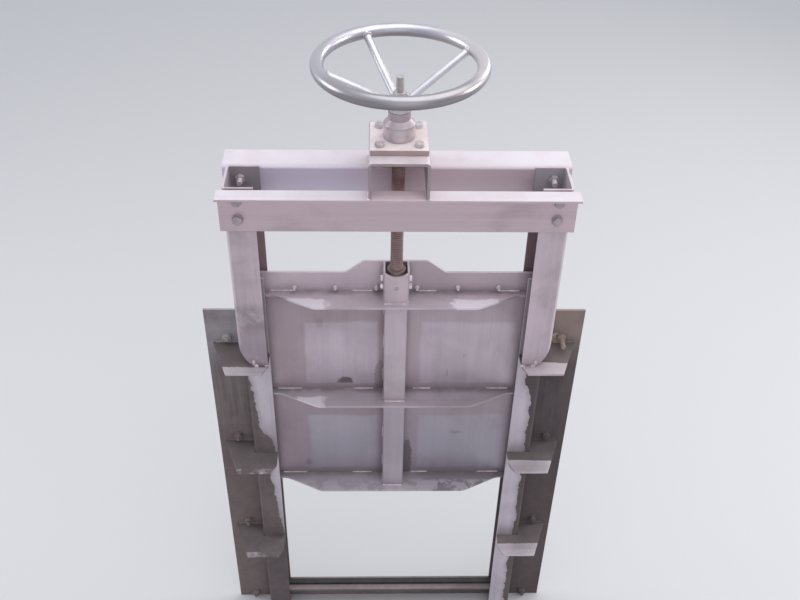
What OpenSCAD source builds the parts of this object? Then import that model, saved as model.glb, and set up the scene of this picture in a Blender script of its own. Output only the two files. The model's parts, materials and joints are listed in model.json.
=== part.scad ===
/* [Opening] */
// Clear width between the two guides
opening_w = 600; // [500:10:800]
// Clear height from the sill to the lintel
opening_h = 600; // [500:10:680]

/* [Wall frame] */
// Thickness of the flat plates that lie on the wall
wall_plate_t = 6; // [5:1:10]
// Width of each flat plate beside the opening
wall_plate_w = 155; // [140:1:190]
// Height of the wall plates above the top of the opening
wall_plate_over = 448; // [420:1:520]
// Height of the sill plate
sill_h = 80; // [70:1:120]
// Height of the lintel plate
lintel_h = 110; // [100:1:130]
// Thickness of the folded sheet of guides, columns and beams
sheet_t = 5; // [4:0.5:6]
// Outer bend radius of the folded sheet
bend_r = 9; // [7:0.5:12]
// Depth of the lower guides, from the wall to their front face
guide_depth = 50; // [48:1:56]
// How far the guides reach above the top of the wall plates, inside the columns
guide_over = 127; // [100:1:150]
// Depth of the columns, from the wall to their front face
column_depth = 92; // [88:1:110]
// Width of the front flange of a column
column_flange_w = 65; // [62:1:80]
// Width of the rear flange of a column
rear_sheet_w = 70; // [66:1:80]
// Width of a column's front flange where it stands on the upper lug
foot_w = 36; // [34:1:38]
// Height of the arc that takes the outer corner off a column's foot
foot_rise = 68; // [64:1:72]
// Radius of that arc
foot_r = 115; // [115:5:160]

/* [Lugs and anchors] */
// Thickness of a lug
lug_t = 6; // [5:1:10]
// How far a lug stands out in front of the columns' face
lug_nose = 28; // [20:1:40]
// Width of the cut corner of a lug at its nose
lug_chamfer = 13; // [8:1:20]
// Distance from the wall plate's outer edge to the lug's outer corner at the wall
lug_inset = 15; // [8:1:30]
// How far the lug's outer edge slants inwards on its way to the nose
lug_slant = 42; // [30:1:50]
// Height of each anchor hole above its lug
anchor_rise = 20; // [18:1:30]
// Diameter of the anchor holes
anchor_d = 14; // [12:1:18]
// Distance of the anchor holes from the outer edge of the wall plate
anchor_inset = 50; // [40:1:60]
// Distance of the top anchor hole from the top of the wall plate
anchor_head = 80; // [60:1:100]
// Distance of the bottom anchor hole from the foot of the wall plate
anchor_foot = 19; // [18:1:40]

/* [Headstock] */
// How far the two folded beams reach past the columns at each end
beam_over = 10; // [6:1:40]
// Height of the webs of the beams
beam_h = 103; // [90:1:130]
// Depth of the front beam's top flange, measured from the columns' face
front_flange_w = 44; // [36:1:60]
// Depth of the rear beam's top flange, measured from the wall
rear_flange_w = 66; // [56:1:80]
// Gap between the fully raised leaf and the beams
head_gap = 15; // [8:1:40]
// Width of the bridge across both beams
bridge_w = 124; // [122:1:150]
// Height of the bridge
bridge_h = 86; // [70:1:110]
// Thickness of the bridge
bridge_t = 6; // [5:1:8]

/* [Bearing] */
// Side of the square bearing plate
bearing_w = 118; // [100:1:122]
// Thickness of the bearing plate
bearing_t = 12; // [8:1:16]
// Diameter of the lower part of the bearing housing
housing_d = 65; // [60:1:74]
// Height of the lower part of the bearing housing
housing_h = 32; // [30:1:40]
// Height of the tapered shoulder of the housing
shoulder_h = 10; // [6:1:14]
// Diameter of the neck of the housing
neck_d = 46; // [40:1:52]
// Height of the neck of the housing
neck_h = 17; // [12:1:26]
// Diameter of the thrust collar
collar_d = 44; // [38:1:50]
// Thickness of the thrust collar
collar_t = 16; // [10:1:20]

/* [Leaf] */
// How far the closed leaf's shoulders reach above the top of the opening
leaf_cover = 103; // [95:1:130]
// Thickness of the leaf
leaf_t = 6; // [5:1:7]
// Height of the raised crown in the middle of the leaf's top edge
crown_h = 32; // [24:1:40]
// Width of the flat top of the crown
crown_w = 136; // [110:1:150]
// Width of each sloping shoulder beside the crown
crown_run = 52; // [46:1:70]
// Radius of the two bends in each shoulder's outline
crown_bend = 16; // [10:1:20]
// Height of the lower rib's top face above the leaf's bottom edge
rib_foot = 16; // [14:1:30]
// Distance of the upper rib's top face below the leaf's shoulders
rib_head = 52; // [44:1:64]
// Depth of the ribs in the middle of the leaf
rib_depth = 65; // [62:1:72]
// Thickness of the ribs
rib_t = 5; // [4:1:8]
// Half width of the stretch where the ribs keep their full depth
rib_full = 178; // [168:1:180]
// Width of the stretch where the ribs run down to their shallow ends
rib_run = 112; // [96:1:114]
// Radius of the two bends in each rib's outline
rib_bend = 42; // [30:1:42]
// Width of the spine channel
spine_w = 54; // [50:1:56]
// Depth of the spine channel
spine_depth = 47; // [46:1:52]
// Thickness of the spine channel
spine_t = 3; // [2.5:0.5:4]
// Inner bend radius of the spine and of the nut pocket
inner_bend = 2; // [1.5:0.5:3]
// Thickness of the rubber seals on the leaf
seal_t = 5; // [4:1:7]
// Width of the rubber seals on the leaf
seal_w = 34; // [30:1:38]
// Distance of the top seal's centre line below the leaf's shoulders
seal_drop = 40; // [36:1:46]
// Thickness of the rubber strip on the sill
sill_rubber_t = 8; // [6:1:12]
// How far the leaf is raised in the stored pose, from its lowest position
raised = 469; // [100:1:480]

/* [Stem] */
// Diameter of the threaded stem
stem_d = 28; // [26:1:30]
// Diameter of the stem where it turns in the bearing
journal_d = 22; // [20:1:25]
// Diameter of the stem's top end, which takes the wheel's nut
stem_end_d = 16; // [14:1:18]
// Length of the stem's top end above the wheel's nut
stem_end_over = 32; // [20:1:40]
// How far the stem reaches below its nut when the leaf is closed
stem_foot = 13; // [6:1:20]
// Width of the stem nut's block
nut_w = 50; // [46:1:52]
// Height of the stem nut's block
nut_h = 48; // [40:1:56]
// Diameter of the round collar on top of the stem nut
nut_collar_d = 42; // [38:1:44]
// Height of the round collar on top of the stem nut
nut_collar_h = 18; // [12:1:22]
// How far the nut's collar ends below the top of the pocket
nut_sink = 1; // [0:1:4]
// Depth of the nut pocket
pocket_depth = 50; // [49:1:54]
// Thickness of the nut pocket
pocket_t = 4; // [3:0.5:5]
// Depth of the hollow in the pocket's front edge, through which the nut's collar shows
pocket_dip = 8; // [4:1:10]

/* [Handwheel] */
// Overall diameter of the handwheel
wheel_d = 352; // [300:1:400]
// Diameter of the rim's tube
rim_tube_d = 27; // [27:1:32]
// Height of the rim's centre above the top of the headstock
rim_rise = 256; // [240:1:280]
// Diameter of the spokes
spoke_d = 16; // [12:1:17]
// Height above the hub's foot at which the spokes' centre lines would cross the stem's axis
spoke_root = 7; // [5:1:12]
// How far above the rim's centre line the spokes' centre lines reach the rim
spoke_lift = 5; // [0:1:5]
// Directions of the four spokes, in degrees
spoke_at = [26, 116, 198, 292]; // [0:1:359]
// Diameter of the hub
hub_d = 44; // [36:1:50]
// Height of the hub
hub_h = 28; // [24:1:40]
// Width across flats of the wheel's nut
wheel_nut_af = 24; // [22:1:30]
// Height of the wheel's nut
wheel_nut_h = 13; // [10:1:16]

/* [Clearances] */
// Gap between the leaf's pieces and the frame, all along its travel
run_gap = 5; // [5:0.5:6]
// Gap between the leaf's side edges and the guides
side_gap = 10; // [8:1:14]
// Radial clearance of the stem in its bearing and its nut
shaft_gap = 0.05; // [0.03:0.01:0.1]
// Clearance of the thrust collar above and below
thrust_gap = 0.3; // [0.2:0.1:0.5]
// Gap between the turning hub or collar and the bearing housing
turn_gap = 0.6; // [0.4:0.1:0.9]
// Gap round the stem where it passes through a rib or the bridge
stem_gap = 6; // [5:0.5:7]

/* [Hidden] */
$fn = 64;
steel = [0.73, 0.71, 0.74];
bright_steel = [0.85, 0.85, 0.87];
rubber = [0.12, 0.12, 0.12];
bronze = [0.48, 0.44, 0.38];
greased = [0.36, 0.31, 0.29];
// What a cutting shape stands past the face it cuts
through = 1;
// Levels of the lugs and of the ribs, with the number of steps from the first to the last
LEVELS = ["lower", "middle", "upper"];
steps = len(LEVELS) - 1;
function step_of(level) = search([level], LEVELS)[0];

// The wall is the plane y = 0 and the front is at -y. The origin is the middle of the sill plate's back
sill_top = sill_h / 2;
frame_bottom = -sill_h / 2;
opening_top = sill_top + opening_h;
wall_plate_top = opening_top + wall_plate_over;
guide_top = wall_plate_top + guide_over;
half_opening = opening_w / 2;
column_side = half_opening + column_flange_w;
guide_side = column_side - sheet_t;
guide_inside = guide_side - sheet_t;
wall_plate_side = half_opening + wall_plate_w;

// Each lug sits below an anchor hole. The lowest hole, on the sill's level, has no lug
anchor_top = wall_plate_top - anchor_head;
anchor_pitch = (anchor_top - anchor_foot - frame_bottom) / len(LEVELS);
function anchor_z(step) = anchor_top - (steps - step) * anchor_pitch;
function lug_top(step) = anchor_z(step) - anchor_rise;
column_bottom = lug_top(steps);
lug_front = column_depth + lug_nose;
lug_wall_x = wall_plate_side - lug_inset;
lug_nose_x = lug_wall_x - lug_slant;

// Leaf planes, measured out from the wall
seal_back = wall_plate_t + run_gap;
leaf_back = seal_back + seal_t;
leaf_front = leaf_back + leaf_t;
leaf_side = guide_inside - side_gap;
rib_end_depth = guide_depth - sheet_t - run_gap - leaf_front;
pocket_front = leaf_front + pocket_depth;

// Leaf levels
leaf_closed = sill_top + sill_rubber_t + run_gap;
leaf_h = opening_top + leaf_cover - leaf_closed;
leaf_z = leaf_closed + raised;
crown_top = leaf_z + leaf_h + crown_h;
rib_pitch = (leaf_h - rib_foot - rib_head) / steps;
function rib_top(step) = leaf_z + rib_foot + step * rib_pitch;
top_seal_z = leaf_z + leaf_h - seal_drop;
side_seal_top = top_seal_z - seal_w / 2;

// The headstock stands clear above the leaf when that is raised past the whole opening
beam_bottom = opening_top + leaf_h + crown_h + head_gap;
headstock_top = beam_bottom + beam_h;
beam_len = 2 * (column_side + beam_over);
bridge_top = headstock_top + bridge_h;
bridge_depth = column_depth + 2 * front_flange_w;
bearing_top = bridge_top + bearing_t;
neck_top = bearing_top + housing_h + shoulder_h + neck_h;

// The stem stands midway between the two beams
stem_y = -column_depth / 2;
nut_top = crown_top - nut_sink - nut_collar_h;
nut_bottom = nut_top - nut_h;
nut_depth = 2 * (pocket_front - pocket_t + stem_y);
pocket_w = nut_w + 2 * pocket_t;
stem_bottom = nut_bottom - raised - stem_foot;
journal_bottom = bridge_top - bridge_t;
hub_bottom = neck_top + turn_gap;
hub_top = hub_bottom + hub_h;
stem_top = hub_top + wheel_nut_h + stem_end_over;
rim_z = headstock_top + rim_rise;
rim_r = (wheel_d - rim_tube_d) / 2;
spoke_foot = hub_bottom + spoke_root;

// Foot of a column, seen from the front: where its arc starts and ends, and the arc's centre
foot_low = [half_opening + foot_w, column_bottom];
foot_high = [column_side, column_bottom + foot_rise];
foot_chord = foot_high - foot_low;
foot_reach = sqrt(pow(foot_r, 2) - pow(norm(foot_chord) / 2, 2));
foot_centre = (foot_low + foot_high) / 2
    + foot_reach * [-foot_chord[1], foot_chord[0]] / norm(foot_chord);

// A flat plate between two values on each axis
module plate(x, y, z) {
    translate([x[0], y[0], z[0]])
        cube([x[1] - x[0], y[1] - y[0], z[1] - z[0]]);
}

// Puts a right-hand piece on the left
module on_left() {
    mirror([1, 0, 0])
        children();
}

// A hole up through everything from z = low to z = high
module bore(d, low, high) {
    translate([0, 0, low - through])
        cylinder(d = d, h = high - low + 2 * through);
}

// Outline of a sheet folded once, with one leg along x, one along y and the outer bend at the origin
module fold_outline(leg_x, leg_y, t, r) {
    translate([r, 0])
        square([leg_x - r, t]);
    translate([0, r])
        square([t, leg_y - r]);
    translate([r, r])
        difference() {
            circle(r);
            circle(r - t);
            translate([0, -r])
                square([r, 2 * r]);
            translate([-r, 0])
                square([r, r]);
        }
}

// Outline under a slope from (0, rise) down to (run, 0): a round bend, a straight and a hollow bend
module slope_outline(run, rise, bend) {
    span = norm([run, 2 * bend - rise]);
    half = sqrt(pow(span / 2, 2) - pow(bend, 2));
    fall = atan2(2 * bend - rise, run) - asin(2 * bend / span);
    step = half * [cos(fall), sin(fall)];
    centre = [run, rise] / 2;
    difference() {
        union() {
            polygon([[0, 0], [run, 0], centre + step, centre - step, [0, rise]]);
            intersection() {
                translate([0, rise - bend])
                    circle(bend);
                square([run, rise]);
            }
        }
        translate([run, bend])
            circle(bend);
    }
}

module wall_plate() {
    color(steel)
        difference() {
            plate([half_opening, wall_plate_side], [-wall_plate_t, 0], [frame_bottom, wall_plate_top]);
            for (step = [-1:steps])
                translate([wall_plate_side - anchor_inset, 0, anchor_z(step)])
                    rotate([90, 0, 0])
                        bore(anchor_d, 0, wall_plate_t);
        }
}

module sill_plate() {
    color(steel)
        plate([-half_opening, half_opening], [-wall_plate_t, 0], [frame_bottom, sill_top]);
}

// Ledge between the guides that carries the rubber strip, with its corners cut to clear the guides' bends
module sill_ledge() {
    front = guide_depth - sheet_t;
    cut = bend_r - sheet_t;
    color(steel)
        translate([0, 0, sill_top - wall_plate_t])
            linear_extrude(wall_plate_t)
                polygon([
                    [-guide_inside, -wall_plate_t],
                    [-guide_inside, cut - front],
                    [cut - guide_inside, -front],
                    [guide_inside - cut, -front],
                    [guide_inside, cut - front],
                    [guide_inside, -wall_plate_t]
                ]);
}

module sill_rubber() {
    color(rubber)
        plate([-leaf_side, leaf_side], [-leaf_front - run_gap, run_gap - leaf_back],
              [sill_top, sill_top + sill_rubber_t]);
}

module lintel_plate() {
    color(steel)
        plate([-half_opening, half_opening], [-wall_plate_t, 0], [opening_top, opening_top + lintel_h]);
}

// Guide: a folded angle on the wall plate, open towards the leaf. Its upper end stands inside the column
module guide() {
    color(steel) {
        guide_length(frame_bottom, wall_plate_top, wall_plate_t);
        guide_length(wall_plate_top, guide_top, bend_r);
    }
}

// A length of the guide between two levels, with its back edge at a distance from the wall
module guide_length(low, high, back) {
    translate([guide_side, -guide_depth, low])
        linear_extrude(high - low)
            mirror([1, 0])
                fold_outline(guide_side - half_opening, guide_depth - back, sheet_t, bend_r);
}

// Seen from the front, what is taken off the outer corner of a column's foot
module foot_cut() {
    difference() {
        translate([foot_low[0], column_bottom - through])
            square([column_flange_w, foot_rise + through]);
        translate(foot_centre)
            circle(foot_r);
    }
}

// Seen from the front, the sheet that closes the cut and follows its arc
module foot_strip() {
    intersection() {
        translate([foot_low[0] - 2 * sheet_t, column_bottom])
            square([column_flange_w, foot_rise]);
        translate(foot_centre)
            difference() {
                circle(foot_r);
                circle(foot_r - sheet_t);
            }
    }
}

// Upper column: a folded channel that carries the headstock and stands on the upper lug
module column() {
    color(steel) {
        difference() {
            union() {
                translate([column_side, -column_depth, column_bottom])
                    linear_extrude(headstock_top - column_bottom)
                        mirror([1, 0])
                            fold_outline(column_flange_w, column_depth - wall_plate_t, sheet_t, bend_r);
                translate([column_side, 0, wall_plate_top])
                    linear_extrude(headstock_top - wall_plate_top)
                        rotate(180)
                            fold_outline(rear_sheet_w, column_depth - bend_r, sheet_t, bend_r);
            }
            translate([0, -guide_depth, 0])
                rotate([90, 0, 0])
                    linear_extrude(column_depth - guide_depth + through)
                        foot_cut();
        }
        intersection() {
            translate([0, -guide_depth, 0])
                rotate([90, 0, 0])
                    linear_extrude(column_depth - guide_depth)
                        foot_strip();
            translate([column_side - bend_r, -column_depth, column_bottom])
                linear_extrude(foot_rise)
                    corner_outline();
        }
    }
}

// Filled outline of a column's outer front corner, seen from above
module corner_outline() {
    translate([-column_flange_w, 0])
        square([column_flange_w, column_depth]);
    translate([0, bend_r])
        square([bend_r, column_depth - bend_r]);
    translate([0, bend_r])
        circle(bend_r);
}

// Lug: a level plate that wraps round the guide and stiffens it against the wall plate
module lug(level) {
    color(steel)
        translate([0, 0, lug_top(step_of(level)) - lug_t])
            linear_extrude(lug_t)
                polygon([
                    [half_opening, -guide_depth],
                    [half_opening, -column_depth],
                    [half_opening + lug_chamfer, -lug_front],
                    [lug_nose_x, -lug_front],
                    [lug_wall_x, -wall_plate_t],
                    [guide_side, -wall_plate_t],
                    [guide_side, -guide_depth]
                ]);
}

// A headstock beam lies along x, with its web hanging from a flange that points away from the columns
module beam(flange_w) {
    translate([-beam_len / 2, 0, 0])
        rotate([90, 0, 90])
            linear_extrude(beam_len)
                mirror([0, 1])
                    fold_outline(flange_w, beam_h, sheet_t, bend_r);
}

module headstock_front_beam() {
    color(bright_steel)
        translate([0, -column_depth, headstock_top])
            mirror([0, 1, 0])
                beam(front_flange_w);
}

module headstock_rear_beam() {
    color(bright_steel)
        translate([0, 0, headstock_top])
            beam(rear_flange_w);
}

// Bridge: a plate folded twice that stands on both beams and carries the bearing
module stem_bridge() {
    half = bridge_w / 2;
    color(steel)
        difference() {
            translate([0, stem_y + bridge_depth / 2, bridge_top])
                rotate([90, 0, 0])
                    linear_extrude(bridge_depth)
                        for (side = [0, 1])
                            mirror([side, 0])
                                translate([half, 0])
                                    rotate(180)
                                        fold_outline(half, bridge_h, bridge_t, bend_r);
            translate([0, stem_y, 0])
                bore(stem_d + 2 * stem_gap, bridge_top - bridge_t, bridge_top);
        }
}

module bearing_plate() {
    half = bearing_w / 2;
    color(bright_steel)
        difference() {
            plate([-half, half], [stem_y - half, stem_y + half], [bridge_top, bearing_top]);
            translate([0, stem_y, 0])
                bore(journal_d + 2 * shaft_gap, bridge_top, bearing_top);
        }
}

// Housing: a turned body over the thrust collar, with a tapered shoulder and a neck
module bearing_housing() {
    room_r = collar_d / 2 + turn_gap;
    room_h = collar_t + 2 * thrust_gap;
    bore_r = journal_d / 2 + shaft_gap;
    color(bright_steel)
        translate([0, stem_y, bearing_top])
            rotate_extrude()
                polygon([
                    [room_r, 0],
                    [housing_d / 2, 0],
                    [housing_d / 2, housing_h],
                    [neck_d / 2, housing_h + shoulder_h],
                    [neck_d / 2, neck_top - bearing_top],
                    [bore_r, neck_top - bearing_top],
                    [bore_r, room_h],
                    [room_r, room_h]
                ]);
}

// Leaf: flat plate whose top edge rises to a crown over the stem nut
module leaf_plate() {
    color(steel)
        translate([0, -leaf_back, leaf_z])
            rotate([90, 0, 0])
                linear_extrude(leaf_t) {
                    translate([-leaf_side, 0])
                        square([2 * leaf_side, leaf_h]);
                    translate([-crown_w / 2, leaf_h])
                        square([crown_w, crown_h]);
                    for (side = [0, 1])
                        mirror([side, 0])
                            translate([crown_w / 2, leaf_h])
                                slope_outline(crown_run, crown_h, crown_bend);
                }
}

// Rib: deep across the middle, then down a slope to shallow ends that run inside the guides
module rib(level) {
    color(bright_steel)
        translate([0, -leaf_front, rib_top(step_of(level)) - rib_t])
            mirror([0, 1, 0])
                difference() {
                    linear_extrude(rib_t) {
                        translate([-leaf_side, 0])
                            square([2 * leaf_side, rib_end_depth]);
                        translate([-rib_full, 0])
                            square([2 * rib_full, rib_depth]);
                        for (side = [0, 1])
                            mirror([side, 0])
                                translate([rib_full, rib_end_depth])
                                    slope_outline(rib_run, rib_depth - rib_end_depth, rib_bend);
                    }
                    if (step_of(level) > 0)
                        translate([0, -stem_y - leaf_front, 0])
                            bore(stem_d + 2 * stem_gap, 0, rib_t);
                }
}

// Channel with its open side on the leaf, between two levels
module leaf_channel(w, depth, t, low, high) {
    color(steel)
        translate([0, -leaf_front - depth, low])
            linear_extrude(high - low)
                for (side = [0, 1])
                    mirror([side, 0])
                        translate([w / 2, 0])
                            mirror([1, 0])
                                fold_outline(w / 2, depth, t, t + inner_bend);
}

// Spine: the channel that stands on one rib and reaches up to the next
module spine(level) {
    step = step_of(level);
    leaf_channel(spine_w, spine_depth, spine_t, rib_top(step), rib_top(step + 1) - rib_t);
}

// Pocket: the channel over the stem nut, with a shallow hollow in its front edge
module nut_pocket() {
    hollow_r = (pow(nut_collar_d / 2, 2) + pow(pocket_dip, 2)) / (2 * pocket_dip);
    color(steel)
        difference() {
            leaf_channel(pocket_w, pocket_depth, pocket_t, rib_top(steps), crown_top);
            translate([0, 0, crown_top - pocket_dip + hollow_r])
                rotate([90, 0, 0])
                    bore(2 * hollow_r, pocket_front - pocket_t, pocket_front);
        }
}

// Stem nut: a block held in the pocket, its front edges cut to clear the bends, with a round collar on top
module stem_nut() {
    half_w = nut_w / 2;
    half_d = nut_depth / 2;
    color(bronze)
        translate([0, stem_y, 0])
            difference() {
                union() {
                    translate([0, 0, nut_bottom])
                        linear_extrude(nut_h)
                            polygon([
                                [-half_w, half_d],
                                [-half_w, inner_bend - half_d],
                                [inner_bend - half_w, -half_d],
                                [half_w - inner_bend, -half_d],
                                [half_w, inner_bend - half_d],
                                [half_w, half_d]
                            ]);
                    translate([0, 0, nut_top])
                        cylinder(d = nut_collar_d, h = nut_collar_h);
                }
                bore(stem_d + 2 * shaft_gap, nut_bottom, nut_top + nut_collar_h);
            }
}

module top_seal() {
    color(rubber)
        plate([-leaf_side, leaf_side], [-leaf_back, -seal_back],
              [side_seal_top, side_seal_top + seal_w]);
}

module side_seal() {
    color(rubber)
        plate([leaf_side - seal_w, leaf_side], [-leaf_back, -seal_back], [leaf_z, side_seal_top]);
}

module stem() {
    color(greased)
        translate([0, stem_y, 0]) {
            translate([0, 0, stem_bottom])
                cylinder(d = stem_d, h = journal_bottom - stem_bottom);
            translate([0, 0, journal_bottom])
                cylinder(d = journal_d, h = hub_top - journal_bottom);
            translate([0, 0, hub_top])
                cylinder(d = stem_end_d, h = stem_top - hub_top);
        }
}

module thrust_collar() {
    low = bearing_top + thrust_gap;
    color(steel)
        translate([0, stem_y, 0])
            difference() {
                translate([0, 0, low])
                    cylinder(d = collar_d, h = collar_t);
                bore(journal_d, low, low + collar_t);
            }
}

module wheel_hub() {
    color(bright_steel)
        translate([0, stem_y, 0])
            difference() {
                translate([0, 0, hub_bottom])
                    cylinder(d = hub_d, h = hub_h);
                bore(journal_d, hub_bottom, hub_top);
            }
}

module rim_ring() {
    translate([0, stem_y, rim_z])
        rotate_extrude()
            translate([rim_r, 0])
                circle(d = rim_tube_d);
}

module wheel_rim() {
    color(bright_steel)
        rim_ring();
}

// Spokes: straight round bars that climb from the hub to the rim and are cut to fit against both
module wheel_spokes() {
    climb = rim_z + spoke_lift - spoke_foot;
    lean = atan2(rim_r, climb);
    color(bright_steel)
        difference() {
            for (turn = spoke_at)
                translate([0, stem_y, spoke_foot])
                    rotate([0, lean, turn])
                        cylinder(d = spoke_d, h = norm([rim_r, climb]));
            rim_ring();
            translate([0, stem_y, 0])
                bore(hub_d, hub_bottom - spoke_d, hub_top + spoke_d);
        }
}

module wheel_nut() {
    color(steel)
        translate([0, stem_y, 0])
            difference() {
                translate([0, 0, hub_top])
                    cylinder(d = wheel_nut_af / cos(30), h = wheel_nut_h, $fn = 6);
                bore(stem_end_d, hub_top, hub_top + wheel_nut_h);
            }
}

on_left() wall_plate();  // wall_plate_left
wall_plate();  // wall_plate_right
sill_plate();
sill_ledge();
sill_rubber();
lintel_plate();
on_left() guide();  // guide_left
guide();  // guide_right
on_left() column();  // column_left
column();  // column_right
on_left() lug("lower");  // lug_left_lower
on_left() lug("middle");  // lug_left_middle
on_left() lug("upper");  // lug_left_upper
lug("lower");  // lug_right_lower
lug("middle");  // lug_right_middle
lug("upper");  // lug_right_upper
headstock_front_beam();
headstock_rear_beam();
stem_bridge();
bearing_plate();
bearing_housing();
leaf_plate();
rib("lower");  // rib_lower
rib("middle");  // rib_middle
rib("upper");  // rib_upper
spine("lower");  // spine_lower
spine("middle");  // spine_upper
nut_pocket();
stem_nut();
top_seal();
on_left() side_seal();  // side_seal_left
side_seal();  // side_seal_right
stem();
thrust_collar();
wheel_hub();
wheel_spokes();
wheel_rim();
wheel_nut();
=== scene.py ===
"""Looks of a wall-mounted sluice gate: finishes, fasteners, welds, screw threads, studio and camera.

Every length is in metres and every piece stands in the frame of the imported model: the wall is the plane
y = 0, the front is at -y and z runs up along the stem.
"""

import json
import logging
import math
import random
from collections.abc import Callable, Sequence
from dataclasses import dataclass, field, replace
from enum import Enum
from functools import cached_property, partial
from typing import NamedTuple

import bpy
from mathutils import Matrix, Vector

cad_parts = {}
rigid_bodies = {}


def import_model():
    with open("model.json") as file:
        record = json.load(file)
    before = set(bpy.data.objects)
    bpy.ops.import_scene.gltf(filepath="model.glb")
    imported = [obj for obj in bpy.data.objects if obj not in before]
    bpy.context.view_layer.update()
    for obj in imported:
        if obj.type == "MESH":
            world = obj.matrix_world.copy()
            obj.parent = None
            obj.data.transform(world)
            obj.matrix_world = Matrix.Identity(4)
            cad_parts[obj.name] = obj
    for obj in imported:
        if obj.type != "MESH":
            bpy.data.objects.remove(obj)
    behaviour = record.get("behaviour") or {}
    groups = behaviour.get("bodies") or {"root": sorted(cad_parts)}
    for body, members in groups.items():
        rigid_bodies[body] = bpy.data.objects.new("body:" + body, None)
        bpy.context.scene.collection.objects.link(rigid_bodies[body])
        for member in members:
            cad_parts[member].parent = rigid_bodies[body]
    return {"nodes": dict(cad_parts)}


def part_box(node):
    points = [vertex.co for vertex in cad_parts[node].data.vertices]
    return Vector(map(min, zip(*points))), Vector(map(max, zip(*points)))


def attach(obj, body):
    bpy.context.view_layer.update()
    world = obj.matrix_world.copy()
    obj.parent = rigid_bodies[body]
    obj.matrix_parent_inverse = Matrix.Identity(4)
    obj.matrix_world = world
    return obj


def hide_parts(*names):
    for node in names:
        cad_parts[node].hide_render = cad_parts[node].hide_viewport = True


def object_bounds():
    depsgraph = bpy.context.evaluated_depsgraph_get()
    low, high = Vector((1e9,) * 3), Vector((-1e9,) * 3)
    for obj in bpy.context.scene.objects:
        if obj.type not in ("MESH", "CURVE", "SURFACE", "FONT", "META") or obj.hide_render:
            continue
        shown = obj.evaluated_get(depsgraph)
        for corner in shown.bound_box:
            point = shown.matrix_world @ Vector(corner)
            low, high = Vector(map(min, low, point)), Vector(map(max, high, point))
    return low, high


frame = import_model()
CAD_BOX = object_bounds()
LOG = logging.getLogger("sluice_gate")
MM = 0.001

Colour = tuple[float, float, float]
Point = Sequence[float]
Range = tuple[float, float]
Inputs = dict[str | int, object]


class Facing(Enum):
    """The way a fastener's end points."""

    FRONT = (0.0, -1.0, 0.0)
    BACK = (0.0, 1.0, 0.0)
    LEFT = (-1.0, 0.0, 0.0)
    RIGHT = (1.0, 0.0, 0.0)
    UP = (0.0, 0.0, 1.0)
    DOWN = (0.0, 0.0, -1.0)

    def turn(self) -> Matrix:
        """Gives the rotation that takes +z to this way."""
        return Vector((0.0, 0.0, 1.0)).rotation_difference(Vector(self.value)).to_matrix().to_4x4()


class Body(Enum):
    """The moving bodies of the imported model."""

    FRAME = "frame"
    LEAF = "leaf"
    HANDWHEEL = "handwheel"


class Mix(Enum):
    """What a Mix node mixes: its data type, then the places of its two inputs and its result."""

    NUMBER = ("FLOAT", 2, 3, 0)
    COLOUR = ("RGBA", 6, 7, 2)


# Shapes

BROKEN_EDGE = 0.4 * MM
BEAD_SIDES = 8
SMOOTH_UP_TO = math.radians(38)
SAME_POINT = 0.002 * MM
NEXT_TO_NOTHING = 1e-9


def circle(radius: float, height: float, place: Matrix, sides: int) -> list[Vector]:
    """Gives a ring of points about +z.

    Args:
        radius: Its radius.
        height: Its height above the place.
        place: Where its origin and axis go.
        sides: How many points it has.

    Returns:
        The points, set in place.
    """
    ring = []
    for k in range(sides):
        angle = 2 * math.pi * k / sides
        ring.append(place @ Vector((radius * math.cos(angle), radius * math.sin(angle), height)))
    return ring


def bead_ring(middle: Vector, side: Vector, up: Vector, size: float) -> list[Vector]:
    """Gives one ring of a weld bead.

    Args:
        middle: Its middle.
        side: One way across the bead.
        up: The other way across the bead.
        size: Its radius.

    Returns:
        The ring's points.
    """
    angles = [2 * math.pi * k / BEAD_SIDES for k in range(BEAD_SIDES)]
    return [middle + size * (side * math.cos(angle) + up * math.sin(angle)) for angle in angles]


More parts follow.
